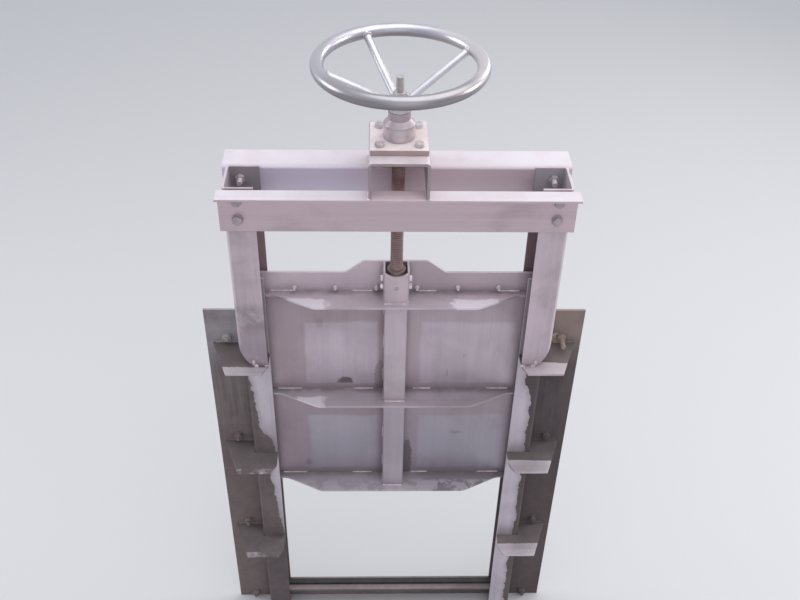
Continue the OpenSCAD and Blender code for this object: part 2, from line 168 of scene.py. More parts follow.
class Shape:
    """Gathers the faces of one piece and turns them into an object."""

    def __init__(self) -> None:
        """Starts with no faces."""
        self.points: list[Vector] = []
        self.faces: list[tuple[int, ...]] = []

    def rings(self, rings: Sequence[list[Vector]], closed: bool = True, capped: bool = True) -> None:
        """Joins rings of equal length into a skin.

        Args:
            rings: The rings, each a list of as many points.
            closed: Whether each ring's last point joins its first.
            capped: Whether the first and last rings are filled.
        """
        start = len(self.points)
        count = len(rings[0])
        for ring in rings:
            self.points.extend(ring)
        for level in range(len(rings) - 1):
            low = start + level * count
            for k in range(count if closed else count - 1):
                after = (k + 1) % count
                self.faces.append((low + k, low + after, low + count + after, low + count + k))
        if capped:
            last = start + (len(rings) - 1) * count
            self.faces.append(tuple(start + k for k in reversed(range(count))))
            self.faces.append(tuple(last + k for k in range(count)))

    def lathe(self, profile: Sequence[tuple[float, float]], place: Matrix, sides: int = 32) -> None:
        """Turns a profile about +z and sets the solid in place.

        Args:
            profile: Its points as radius and height, from one end to the other. The ends are filled.
            place: Where the solid's origin and axis go.
            sides: How many flats make the round.
        """
        self.rings([circle(radius, height, place, sides) for radius, height in profile])

    def collar(self, inner: float, outer: float, height: float, place: Matrix, sides: int = 32) -> None:
        """Makes a flat ring with broken edges, such as a washer.

        Args:
            inner: Radius of its hole.
            outer: Outer radius.
            height: Thickness.
            place: Where its underside's middle and axis go.
            sides: How many flats make the round.
        """
        edge = min(height / 4, BROKEN_EDGE)
        profile = [
            (inner, 0),
            (outer - edge, 0),
            (outer, edge),
            (outer, height - edge),
            (outer - edge, height),
            (inner, height),
            (inner, 0),
        ]
        self.rings([circle(radius, level, place, sides) for radius, level in profile], capped=False)

    def hexagon(
        self, across: float, height: float, place: Matrix, bore: float = 0.0, both: bool = False
    ) -> None:
        """Makes a bolt head or a nut with its corners turned off at 30 degrees.

        Args:
            across: Width across flats.
            height: Height.
            place: Where its underside's middle and axis go.
            bore: Radius of the hole of a nut, or 0 for a head.
            both: Whether the underside's corners are turned off too.
        """
        count = 48
        half = across / 2
        flat = 0.95 * half
        slope = math.tan(math.radians(30))
        half_side = math.pi / 6
        rings: list[list[Vector]] = [[] for _ in range(4)]
        for k in range(count):
            angle = 2 * math.pi * k / count
            out = half / math.cos((angle + half_side) % (2 * half_side) - half_side)
            cut = (out - flat) * slope
            foot = (flat, 0.0) if both else (out, 0.0)
            ray = Vector((math.cos(angle), math.sin(angle), 0))
            profile = (foot, (out, cut if both else 0.0), (out, height - cut), (flat, height))
            for ring, (radius, level) in zip(rings, profile):
                ring.append(place @ (ray * radius + Vector((0, 0, level))))
        if bore:
            bottom = circle(bore, 0.0, place, count)
            self.rings([bottom, *rings, circle(bore, height, place, count), bottom], capped=False)
        else:
            self.rings(rings)

    def screw(self, thread: "Thread", low: float, high: float, place: Matrix, sides: int = 24) -> None:
        """Makes a screwed length with flat ends, where the thread runs out.

        Args:
            thread: Its diameter, pitch, depth and hand.
            low: Height of its lower end above the place.
            high: Height of its upper end above the place.
            place: Where its axis goes.
            sides: How many steps make one turn.
        """
        crest = thread.diameter / 2
        root = crest - thread.depth
        pitch = thread.pitch
        form = [(root, 0.0), (root, 0.28), (crest, 0.42), (crest, 0.86), (root, 1.0)]
        run_out = 0.6 * pitch
        least = 0.35
        climb = 0.9 * pitch
        turns = math.ceil((high - low) / pitch) + 2
        lines: list[list[Vector]] = []
        for step in range(turns * sides + 1):
            angle = thread.hand * 2 * math.pi * step / sides
            base = low - pitch + pitch * step / sides
            line = []
            for radius, share in form:
                level = min(max(base + (share - 1) * pitch, low), high)
                over = min(level - low, high - level)
                taper = min(1.0, least + over / climb) if over < run_out else 1.0
                out = root + (radius - root) * taper
                line.append(place @ Vector((out * math.cos(angle), out * math.sin(angle), level)))
            lines.append(line)
        self.rings(lines, closed=False, capped=False)
        for level, upward in ((low, False), (high, True)):
            start = len(self.points)
            self.points.extend(circle(root, level, place, sides))
            order = range(sides) if upward else reversed(range(sides))
            self.faces.append(tuple(start + k for k in order))

    def bead(
        self, path: Sequence[Point], radius: float, rng: random.Random, ripple: float = 2.6 * MM
    ) -> None:
        """Lays a rippled weld bead along a path, half sunk in the corner that it fills.

        Args:
            path: The points that its middle follows.
            radius: Its radius.
            rng: Where its unevenness comes from.
            ripple: Distance between two ripples.
        """
        line = [Vector(p) for p in path]
        lengths = [0.0]
        for a, b in zip(line, line[1:]):
            lengths.append(lengths[-1] + (b - a).length)
        total = lengths[-1]
        step = 0.45 * ripple
        count = max(4, round(total / step))
        swell = 7 * ripple
        start_size = 0.35
        rings = []
        wander = rng.uniform(0, 6.28)
        for i in range(count + 1):
            at = total * i / count
            leg = max(k for k in range(len(lengths) - 1) if lengths[k] <= at + NEXT_TO_NOTHING)
            along = line[leg + 1] - line[leg]
            here = line[leg] + along * ((at - lengths[leg]) / max(along.length, NEXT_TO_NOTHING))
            along.normalize()
            side = along.orthogonal().normalized()
            phase = (at / ripple) % 1.0
            size = radius * (0.86 + 0.2 * phase + 0.06 * math.sin(at / swell + wander))
            ends = min(1.0, start_size + min(at, total - at) / radius * (1 - start_size))
            size *= rng.uniform(0.95, 1.05) * ends
            rings.append(bead_ring(here, side, along.cross(side), size))
        self.rings(rings)

    def ring_bead(self, place: Matrix, radius: float, thick: float) -> None:
        """Lays a closed weld bead round a bar.

        Args:
            place: Middle of the ring, with +z along the bar.
            radius: Radius of the ring's middle line.
            thick: Radius of the bead.
        """
        count = 40
        steps_a_ripple = 4
        turn = place.to_3x3()
        up = turn @ Vector((0, 0, 1))
        rings = []
        for i in range(count + 1):
            angle = 2 * math.pi * (i % count) / count
            out = turn @ Vector((math.cos(angle), math.sin(angle), 0))
            size = thick * (0.86 + 0.22 * ((i % steps_a_ripple) / steps_a_ripple))
            rings.append(bead_ring(place.translation + out * radius, out, up, size))
        self.rings(rings, capped=False)

    def make(self, name: str, material: bpy.types.Material, body: Body, slot: str) -> bpy.types.Object:
        """Makes the object, gives it its finish and fixes it to a body.

        Args:
            name: The piece's name.
            material: Its finish.
            body: The body that it rides on.
            slot: The record's slot that the finish belongs to. It is not used.

        Returns:
            The new object.
        """
        mesh = bpy.data.meshes.new(name)
        mesh.from_pydata([tuple(p) for p in self.points], [], self.faces)
        mesh.validate()
        mesh.shade_smooth()
        mesh.set_sharp_from_angle(angle=SMOOTH_UP_TO)
        mesh.materials.append(material)
        piece = bpy.data.objects.new(name, mesh)
        bpy.context.scene.collection.objects.link(piece)
        tidy = piece.modifiers.new("tidy", "WELD")
        tidy.merge_threshold = SAME_POINT
        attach(piece, body.value)
        return piece


# Shader nodes


@dataclass(frozen=True)
class Wire:
    """What one socket gives: a number, a position or a colour that changes over the surface."""

    graph: "Graph"
    socket: bpy.types.NodeSocket

    def __add__(self, other: "Value") -> "Wire":
        """Adds a number."""
        return self.graph.math("ADD", self, other)

    def __sub__(self, other: "Value") -> "Wire":
        """Takes a number away."""
        return self.graph.math("SUBTRACT", self, other)

    def __rsub__(self, other: float) -> "Wire":
        """Takes this away from a plain number."""
        return self.graph.math("SUBTRACT", other, self)

    def __mul__(self, other: "Value") -> "Wire":
        """Multiplies by a number."""
        return self.graph.math("MULTIPLY", self, other)

    def __truediv__(self, other: "Value") -> "Wire":
        """Divides by a number."""
        return self.graph.math("DIVIDE", self, other)

    def __abs__(self) -> "Wire":
        """Drops the sign."""
        return self.graph.math("ABSOLUTE", self)

    def line(self, slope: "Value", start: "Value") -> "Wire":
        """Gives start plus slope times this."""
        return self.graph.math("MULTIPLY_ADD", self, slope, start)

    def least(self, other: "Value") -> "Wire":
        """Gives the lower of the two."""
        return self.graph.math("MINIMUM", self, other)

    def most(self, other: "Value") -> "Wire":
        """Gives the higher of the two."""
        return self.graph.math("MAXIMUM", self, other)

    def fade(self, start: "Value", end: "Value") -> "Wire":
        """Gives 0 before the start, 1 past the end and a smooth step between them."""
        values = {"Value": self, "From Min": start, "From Max": end}
        return self.graph.give("MapRange", values, interpolation_type="SMOOTHSTEP")

    def scaled(self, factors: "Point | Wire") -> "Wire":
        """Gives the position with each part multiplied by its factor."""
        return self.graph.give("VectorMath", {0: self, 1: factors}, operation="MULTIPLY")

    def parts(self) -> "Parts":
        """Gives the x, y and z of a position or a normal."""
        node = self.graph.add("SeparateXYZ", {"Vector": self})
        return Parts(*(Wire(self.graph, socket) for socket in node.outputs))

    def noise(
        self, scale: "Value" = 1.0, detail: float = 3.0, rough: float = 0.55, warp: float = 0.0
    ) -> "Wire":
        """Gives noise over a position.

        Args:
            scale: How fine it is.
            detail: How many finer noises it has in it.
            rough: How strong the finer ones are.
            warp: How far it is bent out of place.

        Returns:
            A number of about 0.5 with soft swings to both sides.
        """
        return self.graph.give(
            "TexNoise",
            {"Vector": self, "Scale": scale, "Detail": detail, "Roughness": rough, "Distortion": warp},
        )


Value = float | Wire


class Parts(NamedTuple):
    """The three numbers of a position or a normal."""

    x: Wire
    y: Wire
    z: Wire


class Graph:
    """Adds and joins the nodes of one node tree."""

    def __init__(self, tree: bpy.types.NodeTree) -> None:
        """Keeps the tree and empties it."""
        self.tree = tree
        tree.nodes.clear()

    def put(self, socket: bpy.types.NodeSocket, value: object) -> None:
        """Joins a socket to a wire, or sets it to a value.

        Args:
            socket: The input.
            value: A wire, a number, a position or a colour.
        """
        if isinstance(value, Wire):
            self.tree.links.new(value.socket, socket)
        elif socket.type == "RGBA":
            socket.default_value = (*value, 1.0)
        else:
            socket.default_value = value

    def add(self, kind: str, inputs: Inputs | None = None, **settings: object) -> bpy.types.Node:
        """Adds a node.

        Args:
            kind: The node's type without its ShaderNode prefix.
            inputs: Values or wires for its inputs, by name or place.
            settings: Its other settings.

        Returns:
            The node.
        """
        node = self.tree.nodes.new("ShaderNode" + kind)
        for name, value in settings.items():
            setattr(node, name, value)
        for key, value in (inputs or {}).items():
            self.put(node.inputs[key], value)
        return node

    def give(
        self, kind: str, inputs: Inputs | None = None, output: str | int = 0, **settings: object
    ) -> Wire:
        """Adds a node and gives one of its outputs.

        Args:
            kind: The node's type without its ShaderNode prefix.
            inputs: Values or wires for its inputs, by name or place.
            output: The output's name or place.
            settings: Its other settings.

        Returns:
            The output.
        """
        return Wire(self, self.add(kind, inputs, **settings).outputs[output])

    def math(self, operation: str, *values: Value) -> Wire:
        """Gives the result of one sum on up to three values."""
        return self.give("Math", dict(enumerate(values)), operation=operation)

    def mix(self, kind: Mix, mask: Value, low: object, high: object) -> Wire:
        """Mixes two colours or two numbers by a mask.

        Args:
            kind: What is mixed.
            mask: 0 for the first and 1 for the second.
            low: The first.
            high: The second.

        Returns:
            The mixture.
        """
        data_type, first, second, result = kind.value
        return self.give("Mix", {0: mask, first: low, second: high}, result, data_type=data_type)

    def close(self, inputs: dict[str | int, object]) -> None:
        """Joins a Principled shader to the material's output.

        Args:
            inputs: Values or wires for the shader's inputs, by name.
        """
        self.add("OutputMaterial", {"Surface": self.give("BsdfPrincipled", inputs)})


def blank(name: str) -> tuple[bpy.types.Material, Graph]:
    """Makes a material with no nodes.

    Args:
        name: Its name.

    Returns:
        The material, and the graph that its nodes are added with.
    """
    material = bpy.data.materials.new(name)
    material.use_nodes = True
    return material, Graph(material.node_tree)


# Effects that several finishes share


@dataclass(frozen=True)
class Effect:
    """A shader node group, placed in each finish with its own values."""

    name: str
    takes: dict[str, float | Point]
    gives: tuple[str, ...]
    wire: Callable[[Graph, dict[str, Wire]], dict[str, Wire]]

    def tree(self) -> bpy.types.NodeTree:
        """Gives the group, which is built the first time.

        Returns:
            The group's node tree.
        """
        known = bpy.data.node_groups.get(self.name)
        if known:
            return known
        tree = bpy.data.node_groups.new(self.name, "ShaderNodeTree")
        for name, start in self.takes.items():
            kind = "NodeSocketVector" if isinstance(start, tuple) else "NodeSocketFloat"
            socket = tree.interface.new_socket(name=name, in_out="INPUT", socket_type=kind)
            socket.default_value = start
        for name in self.gives:
            kind = "NodeSocketVector" if name == "Normal" else "NodeSocketFloat"
            tree.interface.new_socket(name=name, in_out="OUTPUT", socket_type=kind)
        graph = Graph(tree)
        entry = tree.nodes.new("NodeGroupInput")
        leave = tree.nodes.new("NodeGroupOutput")
        results = self.wire(graph, {name: Wire(graph, entry.outputs[name]) for name in self.takes})
        for name, result in results.items():
            graph.put(leave.inputs[name], result)
        return tree

    def place(self, graph: Graph, **values: object) -> dict[str, Wire]:
        """Puts the group into a material with its own values.

        Args:
            graph: The material's nodes.
            values: A value or wire for each input, by name.

        Returns:
            The group's outputs by name.
        """
        node = graph.add("Group", node_tree=self.tree())
        for name, value in values.items():
            graph.put(node.inputs[name], value)
        return {name: Wire(graph, node.outputs[name]) for name in self.gives}


def wire_grain(graph: Graph, given: dict[str, Wire]) -> dict[str, Wire]:
    """Wires rolled and brushed grain.

    Args:
        graph: The group's nodes. It is not used.
        given: The position and how much the grain is drawn out on each axis.

    Returns:
        Fine streaks and soft bands.
    """
    drawn = given["Position"].scaled(given["Stretch"])
    band_share = 0.085
    bands = drawn.scaled((band_share, band_share, band_share))
    return {"Streaks": drawn.noise(rough=0.6), "Bands": bands.noise(detail=2.0, rough=0.5, warp=0.3)}


def wire_clouds(graph: Graph, given: dict[str, Wire]) -> dict[str, Wire]:
    """Wires patches with cloudy outlines.

    Args:
        graph: The group's nodes. It is not used.
        given: The position, the patches' scale, how much they cover and how soft their edge is.

    Returns:
        The mask of the patches.
    """
    cloud = given["Position"].noise(given["Scale"], detail=5.0, rough=0.6, warp=0.5)
    edge = given["Cover"].line(-0.44, 0.72)
    return {"Mask": cloud.fade(edge - given["Softness"], edge + given["Softness"])}


def wire_edges(graph: Graph, given: dict[str, Wire]) -> dict[str, Wire]:
    """Wires slightly rounded edges, and a mask of them for a paler film: wear from handling together with a
    painted highlight.

    Args:
        graph: The group's nodes.
        given: The radius of the edges.

    Returns:
        The mask and the rounded normal.
    """
    rounded = graph.give("Bevel", {"Radius": given["Radius"]}, samples=4)
    flat = graph.give("NewGeometry", output="Normal")
    alike = graph.give("VectorMath", {0: rounded, 1: flat}, "Value", operation="DOT_PRODUCT")
    return {"Mask": (1.0 - alike).fade(0.01, 0.16), "Normal": rounded}


def wire_mud(graph: Graph, given: dict[str, Wire]) -> dict[str, Wire]:
    """Wires dried mud with a ragged edge that has run down a little, two soft tones and grit.

    Args:
        graph: The group's nodes. It is not used.
        given: The position and how much the mud covers.

    Returns:
        The mask, the height and the tone of the mud.
    """
    place = given["Position"]
    drawn = place.scaled((1.0, 1.0, 0.4))
    coarse = drawn.noise(9.0, detail=6.0, rough=0.62, warp=0.4)
    medium = place.noise(52.0, detail=5.0, rough=0.6)
    grit = place.noise(420.0, detail=2.0, rough=0.7)
    broad = drawn.noise(5.0, detail=5.0, warp=0.3)
    fine_share = 0.3
    coarse_share = 0.7
    shown = medium.line(fine_share, coarse * coarse_share) + given["Cover"]
    mask = shown.fade(0.93, 1.05)
    tone = medium.line(fine_share, broad * coarse_share)
    return {"Mask": mask, "Height": mask * grit.line(0.5, medium), "Tone": tone.fade(0.34, 0.66)}


def wire_drips(graph: Graph, given: dict[str, Wire]) -> dict[str, Wire]:
    """Wires streaks that water leaves as it runs down.

    Args:
        graph: The group's nodes. It is not used.
        given: The position and how much the streaks cover.

    Returns:
        The mask of the streaks.
    """
    place = given["Position"]
    narrow = place.scaled((75.0, 75.0, 3.2)).noise(rough=0.6, warp=0.2)
    wide = place.noise(5.0)
    edge = given["Cover"].line(-0.3, 0.64)
    return {"Mask": wide.line(0.5, narrow * 0.5).fade(edge, edge + 0.12)}


def wire_dust_and_top_light(graph: Graph, given: dict[str, Wire]) -> dict[str, Wire]:
    """Wires dust and fine silt that settles on what faces up; in a pale colour the same mask is a painted top
    light.

    Args:
        graph: The group's nodes.
        given: The position, the amount and how evenly the dust and painted top light lie.

    Returns:
        The mask of the dust and painted top light.
    """
    level = graph.give("NewGeometry", output="Normal").parts().z.fade(0.35, 0.95)
    patchy = given["Position"].noise(17.0, detail=5.0, rough=0.65).fade(0.3, 0.62)
    shown = level * graph.mix(Mix.NUMBER, given["Evenness"], patchy, 1.0)
    return {"Mask": shown * given["Amount"]}


def wire_grime_and_shade(graph: Graph, given: dict[str, Wire]) -> dict[str, Wire]:
    """Wires the dirt in corners and under ledges, together with the painted shade that ambient occlusion
    finds there.

    Args:
        graph: The group's nodes.
        given: The position, how far the dirt and painted shade reach out of a corner, and their amount.

    Returns:
        The mask of the dirt and painted shade.
    """
    # Ambient occlusion darkens corners and the undersides of ledges: painted shade, mixed with patchy dirt.
    deep = graph.give("AmbientOcclusion", {"Distance": given["Reach"]}, "AO", samples=4).fade(0.86, 0.3)
    patchy = given["Position"].noise(30.0, detail=5.0, rough=0.65).fade(0.25, 0.65)
    return {"Mask": deep * patchy.line(0.6, 0.4) * given["Amount"]}


ORIGIN = (0.0, 0.0, 0.0)
GRAIN = Effect(
    "rolled grain", {"Position": ORIGIN, "Stretch": (1.0, 1.0, 1.0)}, ("Streaks", "Bands"), wire_grain
)
CLOUDS = Effect(
    "cloudy patches",
    {"Position": ORIGIN, "Scale": 8.0, "Cover": 0.5, "Softness": 0.08},
    ("Mask",),
    wire_clouds,
)
EDGES = Effect("rounded edges", {"Radius": 1.0 * MM}, ("Mask", "Normal"), wire_edges)
MUD = Effect("dried mud", {"Position": ORIGIN, "Cover": 0.5}, ("Mask", "Height", "Tone"), wire_mud)
DRIPS = Effect("water drips", {"Position": ORIGIN, "Cover": 0.5}, ("Mask",), wire_drips)
DUST_AND_TOP_LIGHT = Effect("settled dust", {"Position": ORIGIN, "Amount": 0.5, "Evenness": 0.3}, ("Mask",), wire_dust_and_top_light)
GRIME_AND_SHADE = Effect("corner grime", {"Position": ORIGIN, "Reach": 0.03, "Amount": 0.5}, ("Mask",), wire_grime_and_shade)


# What the finishes are laid from


@dataclass(frozen=True)
class Film:
    """A film of dirt or wear. Without a gloss of its own it keeps that of what lies under it.

    The other colour, where it has one, shows where a second mask is.
    """

    colour: Colour | Wire
    strength: float = 1.0
    roughness: float | None = None
    metallic: float | None = None
    other: Colour | None = None


@dataclass(frozen=True)
class Patches:
    """Cloudy patches: how fine they are, how much they cover and how soft their edge is."""

    scale: float
    cover: float
    softness: float


@dataclass(frozen=True)
class Torn:
    """How a ragged edge wanders: how fine it is, how many finer tears it has, how far it goes."""

    scale: float
    detail: float
    width: float
    rough: float = 0.55


@dataclass(frozen=True)
class Blot:
    """A mark with a ragged edge on a face towards the front. The radius is half its width."""

    x: float
    z: float
    radius: float
    tall: float = 1.0
    strength: float = 1.0
    fineness: float = 60.0


DRIED_MUD = Film((0.125, 0.097, 0.105), roughness=0.9, metallic=0.0, other=(0.235, 0.188, 0.182))
MUD_THICKNESS = 0.5 * MM
# The dark colour laid by the ambient occlusion mask: dirt in corners together with painted shade.
CORNER_DIRT_AND_SHADE = Film((0.135, 0.105, 0.108), roughness=0.75, metallic=0.1)
SILT: Colour = (0.42, 0.37, 0.36)
# A pale colour for what faces up: a painted top light more than dust.
PALE_DUST_AND_TOP_LIGHT: Colour = (0.80, 0.75, 0.795)
BLOT_TEAR = 1.5
BLOT_DETAIL = 4.0


@dataclass
class Coat:
    """What a finish is made of so far, while its films are laid over one another."""

    graph: Graph
    place: Wire
    colour: Wire
    roughness: Wire
    metallic: Wire
    relief: Wire

    @cached_property
    def at(self) -> Parts:
        """Gives the position on the part: across, back from the front and up."""
        return self.place.parts()

    @cached_property
    def facing(self) -> Parts:
        """Gives the way that the surface faces."""
        return self.graph.give("NewGeometry", output="Normal").parts()

    @cached_property
    def front(self) -> Wire:
        """Gives the mask of what faces the front, not sideways or back."""
        return self.facing.y.fade(-0.3, -0.7)

    @cached_property
    def left(self) -> Wire:
        """Gives the mask of the left half."""
        return self.at.x.fade(1 * MM, -1 * MM)

    @cached_property
    def right(self) -> Wire:
        """Gives the mask of the right half."""
        return self.at.x.fade(-1 * MM, 1 * MM)

    def lay(self, mask: Value, film: Film, turn: Value = 0.0) -> None:
        """Lays a film over the finish where the mask is.

        Args:
            mask: Where the film shows, from 0 to 1.
            film: The film.
            turn: Where the film has its other colour.
        """
        shown = mask if film.strength == 1.0 else mask * film.strength
        colour = self.graph.mix(Mix.COLOUR, turn, film.colour, film.other) if film.other else film.colour
        self.colour = self.graph.mix(Mix.COLOUR, shown, self.colour, colour)
        if film.roughness is not None:
            self.roughness = self.graph.mix(Mix.NUMBER, shown, self.roughness, film.roughness)
        if film.metallic is not None:
            self.metallic = self.graph.mix(Mix.NUMBER, shown, self.metallic, film.metallic)

    def lay_mud(self, cover: Value) -> Wire:
        """Lays dried mud over the finish.

        Args:
            cover: How much of it the mud covers, from 0 to about 1.

        Returns:
            The mud's mask.
        """
        mud = MUD.place(self.graph, Position=self.place, Cover=cover)
        self.lay(mud["Mask"], DRIED_MUD, mud["Tone"])
        self.relief = mud["Height"].line(MUD_THICKNESS, self.relief)
        return mud["Mask"]

    def patches(self, patches: Patches) -> Wire:
        """Gives the mask of cloudy patches.

        Args:
            patches: Their scale, cover and softness.

        Returns:
            The mask.
        """
        scale, cover, softness = patches.scale, patches.cover, patches.softness
        clouds = CLOUDS.place(self.graph, Position=self.place, Scale=scale, Cover=cover, Softness=softness)
        return clouds["Mask"]

    def torn(self, torn: Torn) -> Wire:
        """Gives a number that swings to both sides of 0 over the surface.

        Args:
            torn: How fine it is and how far it swings in all.

        Returns:
            The number.
        """
        return self.place.noise(torn.scale, torn.detail, torn.rough).line(torn.width, -torn.width / 2)

    def blot(self, blot: Blot) -> Wire:
        """Gives the mask of one blot.

        Args:
            blot: Its place and size.

        Returns:
            The mask.
        """
        across = (self.at.x - blot.x) / blot.radius
        up = (self.at.z - blot.z) / (blot.radius * blot.tall)
        torn = self.torn(Torn(blot.fineness, BLOT_DETAIL, BLOT_TEAR))
        return (across * across + up * up + torn).fade(1.1, 0.6) * self.front


# Finishes


@dataclass(frozen=True)
class Finish:
    """Bare metal with grain, tint patches, drips, dust that also paints a top light, dirt and painted shade
    in corners, and worn edges with a painted highlight.
    """

    name: str
    clean: Colour
    dull: Colour
    dull_cover: float = 0.45
    dull_scale: float = 7.0
    roughness: float = 0.42
    metallic: float = 0.62
    stretch: Point = (420.0, 420.0, 9.0)
    grain: float = 0.10
    drips: float = 0.0
    dust_and_top_light: float = 0.12
    dust_and_top_light_colour: Colour = SILT
    dust_and_top_light_evenness: float = 0.3
    # How strongly corners get dirt and painted shade.
    grime_and_shade: float = 0.55
    grime_and_shade_reach: float = 26 * MM
    # Strength of the paler edge film: wear with a painted highlight.
    edge: float = 0.5
    radius: float = 1.0 * MM

    def layers(self, coat: Coat) -> None:
        """Lays what is special to one finish. Plain metal has nothing more."""

    def last_layers(self, coat: Coat) -> None:
        """Lays what goes over the dust with its painted top light and over the dirt and painted shade in
        corners. Most finishes have nothing there.
        """

    def build(self) -> bpy.types.Material:
        """Makes the material.

        Returns:
            The material, with the Principled shader fed by the films.
        """
        material, graph = blank(self.name)
        coat = self.metal(graph, graph.give("TexCoord", output="Object"))
        if self.drips:
            drips = DRIPS.place(graph, Position=coat.place, Cover=self.drips)
            coat.lay(drips["Mask"], Film(tuple(0.66 * c for c in self.dull), 0.4, 0.5))
        bump: dict[str | int, object] = {"Distance": 1.0}
        # A paler colour along the edges: wear from handling, and a painted highlight where edges catch the
        # light.
        if self.radius:
            edges = EDGES.place(graph, Radius=self.radius)
            bright = tuple(min(1.0, 1.3 * c) for c in self.clean)
            coat.lay(edges["Mask"], Film(bright, self.edge, self.roughness - 0.08))
            bump["Normal"] = edges["Normal"]
        self.layers(coat)
        # Dust on what faces up; where its colour is paler than the metal it is a painted top light.
        if self.dust_and_top_light:
            dust_and_top_light = DUST_AND_TOP_LIGHT.place(graph, Position=coat.place, Amount=self.dust_and_top_light, Evenness=self.dust_and_top_light_evenness)
            coat.lay(dust_and_top_light["Mask"], Film(self.dust_and_top_light_colour, roughness=0.8, metallic=0.05))
        # Dirt and painted shade in corners, found by ambient occlusion.
        if self.grime_and_shade:
            grime_and_shade = GRIME_AND_SHADE.place(graph, Position=coat.place, Reach=self.grime_and_shade_reach, Amount=self.grime_and_shade)
            coat.lay(grime_and_shade["Mask"], CORNER_DIRT_AND_SHADE)
        self.last_layers(coat)
        bump["Height"] = coat.relief
        graph.close({
            "Base Color": coat.colour,
            "Roughness": coat.roughness,
            "Metallic": coat.metallic,
            "Normal": graph.give("Bump", bump),
        })
        return material

    def metal(self, graph: Graph, place: Wire) -> Coat:
        """Lays the bare metal: two tints in soft patches under a drawn grain.

        Args:
            graph: The material's nodes.
            place: The position on the part.

        Returns:
            The coat with nothing over the metal yet.
        """
        grain = GRAIN.place(graph, Position=place, Stretch=tuple(self.stretch))
        scale, cover = self.dull_scale, self.dull_cover
        dull = CLOUDS.place(graph, Position=place, Scale=scale, Cover=cover, Softness=0.14)["Mask"]
        streaks = grain["Streaks"].fade(0.25, 0.75)
        tone = grain["Bands"].fade(0.3, 0.7) * 0.6 + streaks * 0.4
        gain = tone.line(self.grain * 2, 1.0 - self.grain)
        grey = graph.give("CombineXYZ", {"X": gain, "Y": gain, "Z": gain})
        gloss_swing = 0.14
        dull_loss = 0.12
        return Coat(
            graph,
            place,
            graph.mix(Mix.COLOUR, dull, self.clean, self.dull).scaled(grey),
            tone.line(gloss_swing, self.roughness - gloss_swing / 2),
            dull.line(-dull_loss, self.metallic),
            streaks * (0.02 * MM),
        )


@dataclass(frozen=True)
class WallPlateFinish(Finish):
    """Plates on the wall: nearly all under dried mud, with pale silt near their tops."""

    cover: float = 0.66
    foot_cover: float = 0.1
    foot: Range = (1100 * MM, 800 * MM)
    toward_right: Range = (0.0, 350 * MM)
    shade: Film = Film((0.085, 0.064, 0.069), 0.64)
    warmth: Film = Film((0.27, 0.22, 0.205))
    warmth_left: float = 0.3
    silt: Film = Film((0.50, 0.48, 0.52), 0.88, 0.85, other=(0.36, 0.275, 0.24))
    silt_patches: Patches = Patches(5.0, 0.62, 0.2)
    silt_rise: Range = (890 * MM, 1030 * MM)
    runs: Film = Film((0.36, 0.32, 0.315), roughness=0.85)
    runs_cover: float = 0.75
    runs_rise: Range = (550 * MM, 850 * MM)
    runs_left: float = 0.4
    runs_right: float = 0.12
    splash: Blot = Blot(398 * MM, 1002 * MM, 17 * MM)
    splash_film: Film = Film((0.58, 0.47, 0.37), roughness=0.9)

    def layers(self, coat: Coat) -> None:
        """Lays the mud, the pale silt near the plates' tops, the runs and the splash beside an anchor.

        Args:
            coat: The finish so far.
        """
        height = coat.at.z
        coat.lay_mud(height.fade(*self.foot).line(self.foot_cover, self.cover))
        right = coat.at.x.fade(*self.toward_right)
        coat.lay(right, self.shade)
        coat.lay(right.line(-self.warmth_left, self.warmth_left), self.warmth)
        coat.lay(coat.patches(self.silt_patches) * height.fade(*self.silt_rise), self.silt, right)
        runs = DRIPS.place(coat.graph, Position=coat.place, Cover=self.runs_cover)["Mask"]
        strength = right.line(self.runs_right - self.runs_left, self.runs_left)
        coat.lay(runs * (height.fade(*self.runs_rise) * strength), self.runs)
        coat.lay(coat.blot(self.splash) * self.splash.strength, self.splash_film)


